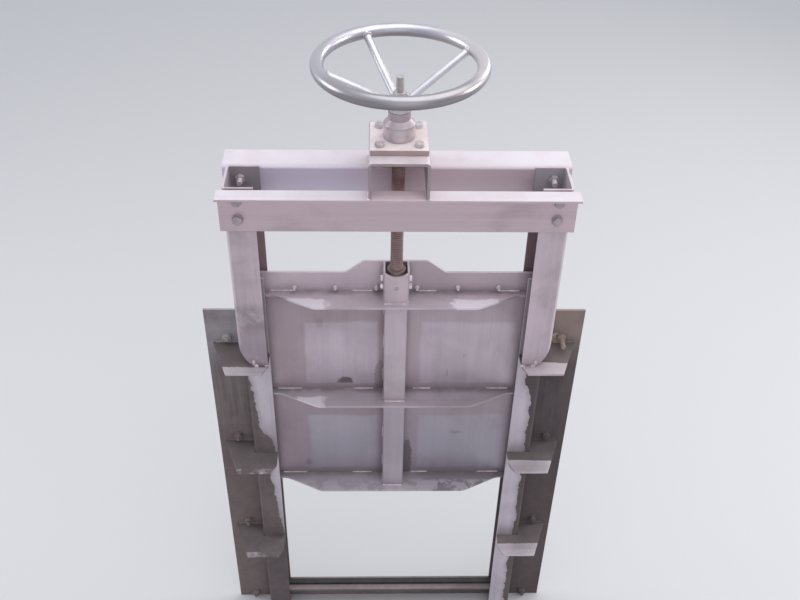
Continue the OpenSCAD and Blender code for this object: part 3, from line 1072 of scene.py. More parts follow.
@dataclass(frozen=True)
class GuideFinish(Finish):
    """Guides: a clean strip beside the opening and mud outside it."""

    clean_left: float = 346 * MM
    clean_right: float = 343 * MM
    clean_upper: float = -20 * MM
    upper: Range = (840 * MM, 900 * MM)
    slant: float = 0.088
    slant_from: float = 830 * MM
    heap: float = -24 * MM
    heap_top: Range = (723 * MM, 693 * MM)
    heap_foot: Range = (615 * MM, 625 * MM)
    sway_scale: Point = (0.0, 0.0, 9.0)
    sway_left: float = 16 * MM
    sway_right: float = 32 * MM
    tears: Torn = Torn(38.0, 5.0, 22 * MM, 0.65)
    haze: Film = Film((0.50, 0.44, 0.48), 0.37)
    film: Film = Film((0.30, 0.26, 0.27), 0.5, 0.6)
    film_edge: Range = (-16 * MM, 4 * MM)
    thin_cover: float = 0.12
    thick_cover: float = 0.72
    mud_edge: Range = (-6 * MM, 8 * MM)
    clear_cover: float = -0.45
    clear: Range = (1030 * MM, 1090 * MM)
    wet: Film = Film((0.095, 0.075, 0.078))
    wet_left: float = 0.25
    wet_right: float = 0.55

    def edge_of_mud(self, coat: Coat) -> Wire:
        """Gives where the mud ends: it slants on the left, and steps in higher up on the right.

        Args:
            coat: The finish so far.

        Returns:
            The distance of the mud's edge from the middle of the gate.
        """
        height = coat.at.z
        wander = coat.place.scaled(self.sway_scale).noise(detail=4.0, rough=0.6)
        lean = (height - self.slant_from) * self.slant
        heap = height.fade(*self.heap_top) * height.fade(*self.heap_foot)
        left_edge = heap.line(self.heap, lean) + self.clean_left
        right_edge = height.fade(*self.upper).line(self.clean_upper, self.clean_right)
        sway = coat.left.line(self.sway_left - self.sway_right, self.sway_right)
        edge = coat.graph.mix(Mix.NUMBER, coat.left, right_edge, left_edge)
        return edge + (wander - 0.5) * sway

    def layers(self, coat: Coat) -> None:
        """Lays a haze, a thin film along the mud and the mud with its torn edge.

        Args:
            coat: The finish so far.
        """
        outside = abs(coat.at.x) - self.edge_of_mud(coat)
        coat.lay(1.0, self.haze)
        outside = outside + coat.torn(self.tears)
        coat.lay(outside.fade(*self.film_edge), self.film)
        cover = outside.fade(*self.mud_edge).line(self.thick_cover, self.thin_cover)
        mud = coat.lay_mud(coat.at.z.fade(*self.clear).line(self.clear_cover, cover))
        coat.lay(mud * coat.left.line(self.wet_left - self.wet_right, self.wet_right), self.wet)


@dataclass(frozen=True)
class LugFinish(Finish):
    """Lugs: a clean nose and mud behind it, more on the left and lower down."""

    clean_to: float = -91 * MM
    clean_to_left: float = -18 * MM
    fade_over: float = 20 * MM
    cover: float = 0.12
    cover_behind: float = 0.6
    low: Range = (900 * MM, 700 * MM)
    low_cover: float = 0.10
    low_cover_left: float = 0.32
    lying: Range = (0.4, 0.9)
    lying_strength: float = 0.6
    wet: Film = Film((0.055, 0.044, 0.046))

    def layers(self, coat: Coat) -> None:
        """Lays the mud from the wall up to near the nose, wetter where it lies flat.

        Args:
            coat: The finish so far.
        """
        start = coat.left.line(self.clean_to_left, self.clean_to)
        behind = (coat.at.y - start).fade(0.0, self.fade_over)
        low = coat.at.z.fade(*self.low) * coat.left.line(self.low_cover_left, self.low_cover)
        mud = coat.lay_mud(behind.line(self.cover_behind, self.cover) + low)
        coat.lay(mud * (coat.facing.z.fade(*self.lying) * self.lying_strength), self.wet)


@dataclass(frozen=True)
class LeafFinish(Finish):
    """The leaf: each field has a paler middle with a darker margin, which under each rib is a painted shadow
    of the rib, and the lower fields are darker and bluer, a painted shade.
    """

    ribs: tuple[float, ...] = ()
    spine_left: float = 39 * MM
    spine_right: float = 64 * MM
    side_left: float = 217 * MM
    side_right: float = 285 * MM
    above_rib: float = 20 * MM
    under_rib: float = 92 * MM
    blend_at_rib: float = 4 * MM
    wave: Torn = Torn(9.0, 5.0, 26 * MM)
    top: Film = Film((0.73, 0.62, 0.66), 0.55)
    crown: Film = Film((0.36, 0.27, 0.29), 0.26)
    crown_from: Range = (-20 * MM, 60 * MM)
    right_film: Film = Film((0.36, 0.30, 0.33), 0.1)
    # Darker and bluer lower down: painted shade.
    blue: Film = Film((0.25, 0.255, 0.31), 0.58, 0.42)
    blue_fall: Range = (1020 * MM, 620 * MM)
    # Darker margin of each field; under each rib it is a painted shadow of the rib.
    margin: Film = Film((0.32, 0.20, 0.21), roughness=0.5)
    margin_edge: Range = (7 * MM, -5 * MM)
    margin_left: float = 0.42
    margin_right: float = 0.28
    mark_film: Film = Film((0.12, 0.10, 0.11), roughness=0.6, metallic=0.2)
    marks: tuple[Blot, ...] = (
        Blot(-180 * MM, 1060 * MM, 9 * MM, 1.7, 0.18, 130.0),
        Blot(-222 * MM, 578 * MM, 9 * MM, 1.3, 0.30, 130.0),
        Blot(164 * MM, 690 * MM, 15 * MM, 0.4, 0.26, 130.0),
        Blot(172 * MM, 958 * MM, 6 * MM, 1.0, 0.18, 130.0),
        Blot(131 * MM, 900 * MM, 3 * MM, 5.0, 0.22, 130.0),
        Blot(-36 * MM, 890 * MM, 14 * MM, 4.2, 0.40, 130.0),
        Blot(37 * MM, 590 * MM, 15 * MM, 5.5, 0.74, 130.0),
    )
    spot: Blot = Blot(-121 * MM, 868 * MM, 22 * MM, fineness=70.0)
    spot_film: Film = Film((0.075, 0.058, 0.056), 0.8, 0.7, 0.1)
    spot_foot: Range = (-4 * MM, 3 * MM)

    def inside_field(self, coat: Coat) -> Wire:
        """Gives how far a point is inside its field, between the spine, the side and the ribs.

        Args:
            coat: The finish so far.

        Returns:
            The distance to the nearest side of the field.
        """
        width = abs(coat.at.x)
        inner = coat.graph.mix(Mix.NUMBER, coat.right, self.spine_left, self.spine_right)
        outer = coat.graph.mix(Mix.NUMBER, coat.right, self.side_left, self.side_right)
        gap = (width - inner).least(outer - width)
        for level in self.ribs:
            above = coat.at.z - level
            gap = gap.least((above - self.above_rib).most(above * -1.0 - self.under_rib))
        return gap

    def layers(self, coat: Coat) -> None:
        """Lays the crown's film, the bluish painted shade lower down, the fields' margins with the painted
        rib shadows and the dirt marks.

        Args:
            coat: The finish so far.
        """
        across, _, height = coat.at
        top_rib = self.ribs[-1]
        fields = height.fade(top_rib + self.blend_at_rib, top_rib - self.blend_at_rib)
        top = 1.0 - fields
        coat.lay(top, self.top)
        coat.lay(top * across.fade(*self.crown_from), self.crown)
        coat.lay(coat.right, self.right_film)
        # The margin's band under each rib stands for the rib's shadow: painted shade.
        near_side = (self.inside_field(coat) + coat.torn(self.wave)).fade(*self.margin_edge)
        margin = near_side * (fields * coat.front)
        # Painted shade, darker and bluer lower down.
        coat.lay(height.fade(*self.blue_fall), self.blue)
        further = coat.right.line(self.margin_right - self.margin_left, self.margin_left)
        coat.lay(margin * further, self.margin)
        for mark in self.marks:
            coat.lay(coat.blot(mark) * mark.strength, self.mark_film)
        foot = height.fade(*(self.spot.z + rise for rise in self.spot_foot))
        coat.lay(coat.blot(self.spot) * foot, self.spot_film)


@dataclass(frozen=True)
class RibFinish(Finish):
    """Ribs: rubbed bright on the slopes higher up, and darker the lower they are, a painted shade."""

    toward_right: Range = (20 * MM, 120 * MM)
    low: Range = (1050 * MM, 550 * MM)
    # Darker lower down: painted shade.
    low_film: Film = Film((0.26, 0.24, 0.265), roughness=0.5, metallic=0.4)
    low_left: float = 0.55
    low_more_right: float = 0.35
    tears: Torn = Torn(20.0, 6.0, 90 * MM)
    wear_and_highlight: Film = Film((0.90, 0.84, 0.90), 0.85, 0.5, 0.25)
    rubbed_from_left: float = 166 * MM
    rubbed_from_right: float = 128 * MM
    rubbed_edge: float = 9 * MM
    rubbed_to: Range = (250 * MM, 238 * MM)
    rubbed_front: Range = (-49 * MM, -56 * MM)
    front_tear: float = 0.3
    rubbed_above: Range = (600 * MM, 750 * MM)
    bare_below: Range = (1000 * MM, 950 * MM)
    left_film: Film = Film((0.80, 0.75, 0.80), 0.22)
    corner: Film = Film((0.14, 0.115, 0.115), 0.5, 0.7, 0.2)
    corner_depth: Range = (-46 * MM, -26 * MM)
    corner_patches: Patches = Patches(20.0, 0.62, 0.12)
    splotch: Film = Film((0.62, 0.575, 0.62), 0.75, 0.55)
    splotch_patches: Patches = Patches(27.0, 0.58, 0.04)
    splotch_height: Range = (660 * MM, 580 * MM)
    splotch_depth: Range = (-44 * MM, -58 * MM)

    def rubbed_mask(self, coat: Coat, right: Wire) -> Wire:
        """Gives where the slopes are rubbed bright.

        Args:
            coat: The finish so far.
            right: The mask of the right half.

        Returns:
            The mask.
        """
        _, deep, height = coat.at
        torn = coat.torn(self.tears)
        out = abs(coat.at.x) + torn
        start = coat.graph.mix(Mix.NUMBER, right, self.rubbed_from_left, self.rubbed_from_right)
        where = out.fade(start, start + self.rubbed_edge) * out.fade(*self.rubbed_to)
        front = torn.line(self.front_tear, deep).fade(*self.rubbed_front)
        bare = right * height.fade(*self.bare_below)
        return where * front * (height.fade(*self.rubbed_above) - bare).most(0.0)

    def layers(self, coat: Coat) -> None:
        """Lays the painted shade lower down, the bright rubbed places, a paler left half, darker patches in
        the corner against the plate and the splotches along the lowest rib.

        Args:
            coat: The finish so far.
        """
        across, deep, height = coat.at
        right = across.fade(*self.toward_right)
        # Painted shade, darker the lower the rib.
        coat.lay(height.fade(*self.low) * right.line(self.low_more_right, self.low_left), self.low_film)
        coat.lay(self.rubbed_mask(coat, right), self.wear_and_highlight)
        coat.lay(1.0 - right, self.left_film)
        coat.lay(deep.fade(*self.corner_depth) * coat.patches(self.corner_patches), self.corner)
        lowest = height.fade(*self.splotch_height) * deep.fade(*self.splotch_depth)
        coat.lay(coat.patches(self.splotch_patches) * lowest, self.splotch)


@dataclass(frozen=True)
class BeamFinish(Finish):
    """Beams: the rear web is paler, bluer on the left as a painted light, with painted shade behind the
    bridge and a painted pool of light on the flange under it.
    """

    bridge_half: float = 65 * MM
    bridge_edge: float = 3 * MM
    rear: Range = (-50 * MM, -20 * MM)
    toward_left: Range = (60 * MM, -160 * MM)
    rear_film: Film = Film((0.74, 0.64, 0.68), 0.75, other=(0.84, 0.85, 1.0))
    # Painted shade on the rear web behind the bridge.
    shade_behind_bridge: Film = Film((0.38, 0.28, 0.29), 0.36)
    lying: Range = (0.6, 0.9)
    # Painted light: a paler colour where the bridge shades the flange.
    light_under_bridge: Film = Film((1.0, 0.82, 0.86), roughness=0.6, metallic=0.0)

    def within_bridge(self, coat: Coat) -> Wire:
        """Gives the mask of the length that the bridge spans."""
        return abs(coat.at.x).fade(self.bridge_half, self.bridge_half - self.bridge_edge)

    def layers(self, coat: Coat) -> None:
        """Lays the pale film on the rear web, bluer on the left as a painted light, and the painted shade
        behind the bridge.

        Args:
            coat: The finish so far.
        """
        rear = coat.at.y.fade(*self.rear) * coat.front
        # The bluish colour on the left of the rear web is a painted light from that side.
        coat.lay(rear, self.rear_film, coat.at.x.fade(*self.toward_left))
        # Painted shade on the rear web where the bridge covers it.
        coat.lay(rear * self.within_bridge(coat), self.shade_behind_bridge)

    def last_layers(self, coat: Coat) -> None:
        """Lays a painted pool of light on the flange under the bridge."""
        # Painted light on the flange in the bridge's shadow.
        coat.lay(self.within_bridge(coat) * coat.facing.z.fade(*self.lying), self.light_under_bridge)


@dataclass(frozen=True)
class ColumnFinish(Finish):
    """Columns: pale sheet with painted shade inside the channel, a painted highlight along the outer front
    bends, a damp stain low down and mud at the foot.
    """

    web: Range = (-40 * MM, -16 * MM)
    beams: Range = (1365 * MM, 1397 * MM)
    # Colours of the channel's inside faces: painted shade, lighter on the left as painted light, and lighter
    # level with the beams.
    inside: Film = Film((0.188, 0.116, 0.122), 0.85, 0.65, 0.15)
    inside_left: Colour = (0.28, 0.188, 0.182)
    inside_beams: Colour = (0.38, 0.37, 0.405)
    inside_beams_left: Colour = (0.285, 0.262, 0.278)
    # A paler line along the outer front bends: a painted highlight.
    wear_and_highlight: Film = Film((0.88, 0.80, 0.86), 0.45)
    highlight_from: Range = (357 * MM, 361 * MM)
    stain_patches: Patches = Patches(13.0, 0.74, 0.15)
    stain: Film = Film((0.17, 0.145, 0.16), 0.62, 0.4)
    stain_top: Range = (1185 * MM, 1150 * MM)
    stain_foot: Range = (1060 * MM, 1120 * MM)
    damp: Film = Film((0.27, 0.24, 0.285), roughness=0.4)
    damp_below: Range = (1130 * MM, 1050 * MM)
    damp_more_left: float = 0.5
    damp_right: float = 0.14
    mud_below: Range = (1030 * MM, 985 * MM)
    mud_cover: float = 0.12
    foot_cover: float = 0.34

    def inside_mask(self, coat: Coat) -> Wire:
        """Gives the mask of the channel's inside faces.

        Args:
            coat: The finish so far.

        Returns:
            The mask.
        """
        facing, deep = coat.facing, coat.at.y
        inward = facing.x * coat.graph.math("SIGN", coat.at.x)
        forward = facing.y.fade(-0.4, -0.8) * deep.fade(*self.web)
        backward = facing.y.fade(0.4, 0.8) * deep.fade(*reversed(self.web))
        return inward.fade(-0.3, -0.8).most(forward.most(backward))

    def layers(self, coat: Coat) -> None:
        """Lays the painted shade inside the channel, lighter on the left, the painted highlight along the
        outer bends, the damp stain and the mud at the foot.

        Args:
            coat: The finish so far.
        """
        height, left, graph = coat.at.z, coat.left, coat.graph
        lower = graph.mix(Mix.COLOUR, left, self.inside.colour, self.inside_left)
        upper = graph.mix(Mix.COLOUR, left, self.inside_beams, self.inside_beams_left)
        brown = graph.mix(Mix.COLOUR, height.fade(*self.beams), lower, upper)
        # Painted shade on the channel's inside faces.
        coat.lay(self.inside_mask(coat), replace(self.inside, colour=brown))
        # Painted highlight along the outer front bends.
        coat.lay(abs(coat.at.x).fade(*self.highlight_from), self.wear_and_highlight)
        patches = coat.patches(self.stain_patches)
        band = height.fade(*self.stain_top) * height.fade(*self.stain_foot)
        coat.lay(patches * band * left, self.stain)
        low = patches * height.fade(*self.damp_below)
        coat.lay(low * left.line(self.damp_more_left, self.damp_right), self.damp)
        coat.lay_mud(height.fade(*self.mud_below).line(self.foot_cover, self.mud_cover))


@dataclass(frozen=True)
class SpineFinish(Finish):
    """Spine and pocket: darker and bluer the lower they are, a painted shade, with one faint round mark on
    the pocket.
    """

    low: Range = (1000 * MM, 600 * MM)
    low_film: Film = Film((0.29, 0.285, 0.34), 0.42, 0.45)
    mark: Blot = Blot(0.0, 1204 * MM, 6 * MM, fineness=120.0)
    mark_film: Film = Film((0.2, 0.17, 0.18), 0.35, 0.6)

    def layers(self, coat: Coat) -> None:
        """Lays the painted shade lower down and the mark."""
        # Painted shade, darker the lower it is.
        coat.lay(coat.at.z.fade(*self.low), self.low_film)
        coat.lay(coat.blot(self.mark), self.mark_film)


@dataclass(frozen=True)
class HousingFinish(Finish):
    """The bearing housing: darker from the shoulder up."""

    neck: Range = (1604 * MM, 1614 * MM)
    neck_film: Film = Film((0.27, 0.21, 0.23), 0.42, 0.4)

    def layers(self, coat: Coat) -> None:
        """Lays the dark film on the neck."""
        coat.lay(coat.at.z.fade(*self.neck), self.neck_film)


@dataclass(frozen=True)
class BridgeFinish(Finish):
    """The bridge: painted shade on its inside faces, and duller cut edges."""

    inside_strength: float = 0.45
    edge_strength: float = 0.62
    dull_film: Film = Film((0.30, 0.235, 0.25), roughness=0.5)

    def layers(self, coat: Coat) -> None:
        """Lays the dull film: painted shade on the insides, and a duller tone on the cut edges.

        Args:
            coat: The finish so far.
        """
        # Painted shade on the faces that look inward.
        inward = (coat.facing.x * coat.graph.math("SIGN", coat.at.x)).fade(-0.3, -0.8)
        coat.lay((inward * self.inside_strength).most(coat.front * self.edge_strength), self.dull_film)


@dataclass(frozen=True)
class BearingFinish(Finish):
    """The bearing's plate: its front edge is duller than its top, which has dust and a painted top light."""

    edge_film: Film = Film((0.38, 0.28, 0.26), 0.45, 0.55)

    def layers(self, coat: Coat) -> None:
        """Lays the dull film on the front edge."""
        coat.lay(coat.front, self.edge_film)


@dataclass(frozen=True)
class RimFinish(Finish):
    """The wheel's rim: painted reflections, darker on the left, bright on the right and darker on the side
    towards the user, and painted shade underneath.
    """

    middle_y: float = 0.0
    near: float = 40 * MM
    far: float = 125 * MM
    # Painted reflections: darker on the left, bright on the right.
    left_film: Film = Film((0.52, 0.505, 0.54), 0.6)
    right_film: Film = Film((0.74, 0.70, 0.70), 0.8)
    # A darker colour on the side towards the user: a painted darker reflection.
    grease_and_painted_shade: Film = Film((0.355, 0.335, 0.345), 0.8, 0.30)
    front_shade_tears: Torn = Torn(16.0, 4.0, 60 * MM)
    under: Range = (0.25, -0.35)
    # A dark colour on what faces down: painted shade.
    painted_underside_shade: Film = Film((0.22, 0.195, 0.20), 0.6, 0.4)

    def layers(self, coat: Coat) -> None:
        """Lays the painted reflections to the left, the right and the front, and the painted shade
        underneath.

        Args:
            coat: The finish so far.
        """
        across, deep, _ = coat.at
        # Painted reflections on the left and the right.
        coat.lay(across.fade(-self.near, -self.far), self.left_film)
        coat.lay(across.fade(self.near, self.far), self.right_film)
        out = self.middle_y - deep
        # Painted darker reflection on the side towards the user.
        coat.lay((out + coat.torn(self.front_shade_tears)).fade(self.near, self.far), self.grease_and_painted_shade)
        # Painted shade underneath.
        coat.lay(coat.facing.z.fade(*self.under), self.painted_underside_shade)


@dataclass(frozen=True)
class StemFinish(Finish):
    """The stem: brown grease in the thread and clean metal at the end above the wheel."""

    grease_and_painted_shade: Film = Film((0.38, 0.24, 0.225), roughness=0.5, metallic=0.2, other=(0.29, 0.175, 0.165))
    grease_below: Range = (1650 * MM, 1640 * MM)
    smears: Patches = Patches(34.0, 0.6, 0.16)
    thin: float = 0.8
    smear_more: float = 0.15

    def layers(self, coat: Coat) -> None:
        """Lays the grease.

        Args:
            coat: The finish so far.
        """
        smears = coat.patches(self.smears)
        greased = smears.line(self.smear_more, self.thin) * coat.at.z.fade(*self.grease_below)
        coat.lay(greased, self.grease_and_painted_shade, smears)


@dataclass(frozen=True)
class WeldFinish(Finish):
    """Weld metal: beads with straw and blue heat colours."""

    straw: Film = Film((0.42, 0.32, 0.24), 0.35)
    straw_patches: Patches = Patches(60.0, 0.45, 0.1)
    blue: Film = Film((0.24, 0.25, 0.34), 0.4)
    blue_patches: Patches = Patches(41.0, 0.35, 0.1)

    def layers(self, coat: Coat) -> None:
        """Lays the heat colours."""
        coat.lay(coat.patches(self.straw_patches), self.straw)
        coat.lay(coat.patches(self.blue_patches), self.blue)


@dataclass(frozen=True)
class RubberFinish:
    """Black rubber, chalky with use."""

    name: str = "seal rubber"
    black: Colour = (0.016, 0.016, 0.017)
    chalk: Colour = (0.06, 0.056, 0.054)
    chalk_strength: float = 0.5
    skin_height: float = 0.05 * MM
    radius: float = 0.8 * MM

    def build(self) -> bpy.types.Material:
        """Makes the material.

        Returns:
            The material.
        """
        material, graph = blank(self.name)
        place = graph.give("TexCoord", output="Object")
        chalk = CLOUDS.place(graph, Position=place, Scale=30.0, Cover=0.5, Softness=0.15)["Mask"]
        skin = place.noise(900.0, detail=2.0) * self.skin_height
        edges = EDGES.place(graph, Radius=self.radius)
        graph.close({
            "Base Color": graph.mix(Mix.COLOUR, chalk * self.chalk_strength, self.black, self.chalk),
            "Roughness": chalk.line(0.2, 0.6),
            "Normal": graph.give("Bump", {"Height": skin, "Distance": 1.0, "Normal": edges["Normal"]}),
        })
        return material


class Shop:
    """Makes each finish once and hands it out by name."""

    def __init__(self, finishes: Sequence[Finish | RubberFinish]) -> None:
        """Keeps the finishes by name."""
        self.finishes = {finish.name: finish for finish in finishes}
        self.made: dict[str, bpy.types.Material] = {}

    def get(self, name: str) -> bpy.types.Material:
        """Gives the material of that name, made the first time.

        Args:
            name: The finish.

        Returns:
            Its material.
        """
        if name not in self.made:
            self.made[name] = self.finishes[name].build()
        return self.made[name]

    def dress(self, name: str, *nodes: str) -> None:
        """Gives CAD nodes the finish of that name.

        Args:
            name: The finish.
            nodes: The CAD nodes.
        """
        for node in nodes:
            mesh = frame["nodes"][node].data
            mesh.materials.clear()
            mesh.materials.append(self.get(name))
            for polygon in mesh.polygons:
                polygon.material_index = 0


# Fasteners

WASHER_PLAY = 0.5 * MM
NUT_PLAY = 0.6 * MM
STUD_START = 0.5 * MM
STUD_SIDES = 20
HEXAGON_TURN = 60


@dataclass(frozen=True)
class Thread:
    """A screw thread. The hand is 1 for a right-hand and -1 for a left-hand one."""

    diameter: float
    pitch: float
    depth: float
    hand: int = 1


@dataclass(frozen=True)
class Bolt:
    """A hexagon bolt or stud with its nut and washer."""

    thread: Thread
    across: float
    head: float
    nut: float
    washer_d: float
    washer_t: float

    def seat(self, spot: Point, facing: Facing, rng: random.Random) -> Matrix:
        """Gives where a fastener goes, turned as it happened to stop.

        Args:
            spot: The point on the face.
            facing: The way the face looks.
            rng: Where the turn comes from.

        Returns:
            The place, with +z out of the face.
        """
        turn = math.radians(rng.uniform(0, HEXAGON_TURN))
        return Matrix.Translation(Vector(spot)) @ facing.turn() @ Matrix.Rotation(turn, 4, "Z")

    def washer_on(self, shape: Shape, place: Matrix) -> None:
        """Sets a washer on a face."""
        shape.collar(self.thread.diameter / 2 - WASHER_PLAY, self.washer_d / 2, self.washer_t, place)

    def head_on(self, shape: Shape, spot: Point, facing: Facing, rng: random.Random) -> None:
        """Sets a washer and a bolt head on a face.

        Args:
            shape: The piece that they belong to.
            spot: The point on the face.
            facing: The way the face looks.
            rng: Where the head's turn comes from.
        """
        place = self.seat(spot, facing, rng)
        self.washer_on(shape, place)
        shape.hexagon(self.across, self.head, place @ Matrix.Translation((0, 0, self.washer_t)))

    def nut_on(
        self, shape: Shape, spot: Point, facing: Facing, rng: random.Random, stick: float,
        washer: bool = True, stud: Shape | None = None,
    ) -> None:
        """Sets a washer, a nut and the end of a stud on a face.

        Args:
            shape: The piece that they belong to.
            spot: The point on the face.
            facing: The way the face looks.
            rng: Where the nut's turn comes from.
            stick: How far the stud stands out of the nut.
            washer: Whether there is a washer under the nut.
            stud: The piece that the stud belongs to, or None for the nut's own piece.
        """
        place = self.seat(spot, facing, rng)
        raised = self.washer_t if washer else 0.0
        if washer:
            self.washer_on(shape, place)
        bore = self.thread.diameter / 2 - NUT_PLAY
        shape.hexagon(self.across, self.nut, place @ Matrix.Translation((0, 0, raised)), bore, both=True)
        (stud or shape).screw(self.thread, STUD_START, raised + self.nut + stick, place, STUD_SIDES)


M6 = Bolt(Thread(6 * MM, 1.0 * MM, 0.6 * MM), 10 * MM, 4 * MM, 5 * MM, 12 * MM, 1.6 * MM)
M8 = Bolt(Thread(8 * MM, 1.25 * MM, 0.75 * MM), 13 * MM, 5.3 * MM, 6.5 * MM, 16 * MM, 1.6 * MM)
M10 = Bolt(Thread(10 * MM, 1.5 * MM, 0.9 * MM), 17 * MM, 6.4 * MM, 8 * MM, 20 * MM, 2 * MM)
M12 = Bolt(Thread(12 * MM, 1.75 * MM, 1.05 * MM), 19 * MM, 7.5 * MM, 10 * MM, 24 * MM, 2.5 * MM)


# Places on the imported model

X, Y, Z = range(3)
SIDES = {"left": -1, "right": 1}
STEPS = ("lower", "middle", "upper")


def span(node: str, axis: int) -> Range:
    """Gives the lowest and highest value of a CAD node on an axis.

    Args:
        node: The node.
        axis: X, Y or Z.

    Returns:
        The two values.
    """
    low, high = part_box(node)
    return low[axis], high[axis]


def middle(node: str, axis: int) -> float:
    """Gives the middle of a CAD node on an axis."""
    return sum(span(node, axis)) / 2


RIB_LEVELS = tuple(middle(f"rib_{step}", Z) for step in STEPS)


# Sub-assemblies


@dataclass
class WallFrame:
    """The flat frame on the wall with its guides, lugs and anchors."""

    shop: Shop
    slot: str = "frame_steel"
    anchor_x: float = 405 * MM
    anchor_levels: tuple[float, ...] = (-21 * MM, 322 * MM, 665 * MM, 1008 * MM)
    anchor_stick: float = 6 * MM
    long_stick: float = 30 * MM
    stick_swing: float = 3
    bead: float = 2.6 * MM
    bead_lift: float = 0.4
    short_of_lug: float = 6 * MM
    short_of_front: float = 12 * MM
    stitch: float = 55 * MM
    stitch_pitch: float = 171.5 * MM
    stitch_margin: float = 60 * MM
    rng: random.Random = field(default_factory=lambda: random.Random(11))

    def build(self) -> None:
        """Makes the anchors and the welds."""
        self.anchors()
        self.welds()

    def anchors(self) -> None:
        """Makes the anchors' ends with their nuts and washers, one of them long."""
        anchors = Shape()
        wall_plate = span("wall_plate_right", Y)[0]
        for side in SIDES.values():
            for level in self.anchor_levels:
                long = side > 0 and level == self.anchor_levels[-1]
                stick = self.long_stick if long else self.anchor_stick
                stick += self.rng.uniform(-self.stick_swing, self.stick_swing) * MM
                M12.nut_on(anchors, (side * self.anchor_x, wall_plate, level), Facing.FRONT, self.rng, stick)
        anchors.make("anchor_bolts", self.shop.get("muddy fasteners"), Body.FRAME, self.slot)

    def welds(self) -> None:
        """Makes the welds round the lugs and the stitches along the guides."""
        welds = Shape()
        seam = partial(welds.bead, radius=self.bead, rng=self.rng)
        wall_plate = span("wall_plate_right", Y)[0]
        guide_front = span("guide_right", Y)[0] + self.short_of_front
        bottom, top = span("wall_plate_right", Z)
        for word, side in SIDES.items():
            outer = side * span("guide_right", X)[1]
            for step in STEPS:
                low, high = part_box(f"lug_{word}_{step}")
                reach = side * (max(abs(low.x), abs(high.x)) - self.short_of_lug)
                for level, way in ((high.z, 1), (low.z, -1)):
                    z = level + way * self.bead * self.bead_lift
                    seam([(outer, wall_plate, z), (reach, wall_plate, z)])
                    seam([(outer, guide_front, z), (outer, wall_plate, z)])
            z = bottom + self.stitch_margin
            while z < top - self.stitch_margin:
                seam([(outer, wall_plate, z), (outer, wall_plate, z + self.stitch)])
                z += self.stitch_pitch
        welds.make("frame_welds", self.shop.get("muddy weld"), Body.FRAME, self.slot)

    def dress(self) -> None:
        """Gives the CAD nodes their finishes."""
        plates = ("wall_plate_left", "wall_plate_right", "sill_plate", "sill_ledge", "lintel_plate")
        self.shop.dress("wall plate steel", *plates)
        for word in SIDES:
            self.shop.dress("guide steel", f"guide_{word}")
            self.shop.dress("lug steel", *(f"lug_{word}_{step}" for step in STEPS))
        self.shop.dress("seal rubber", "sill_rubber")


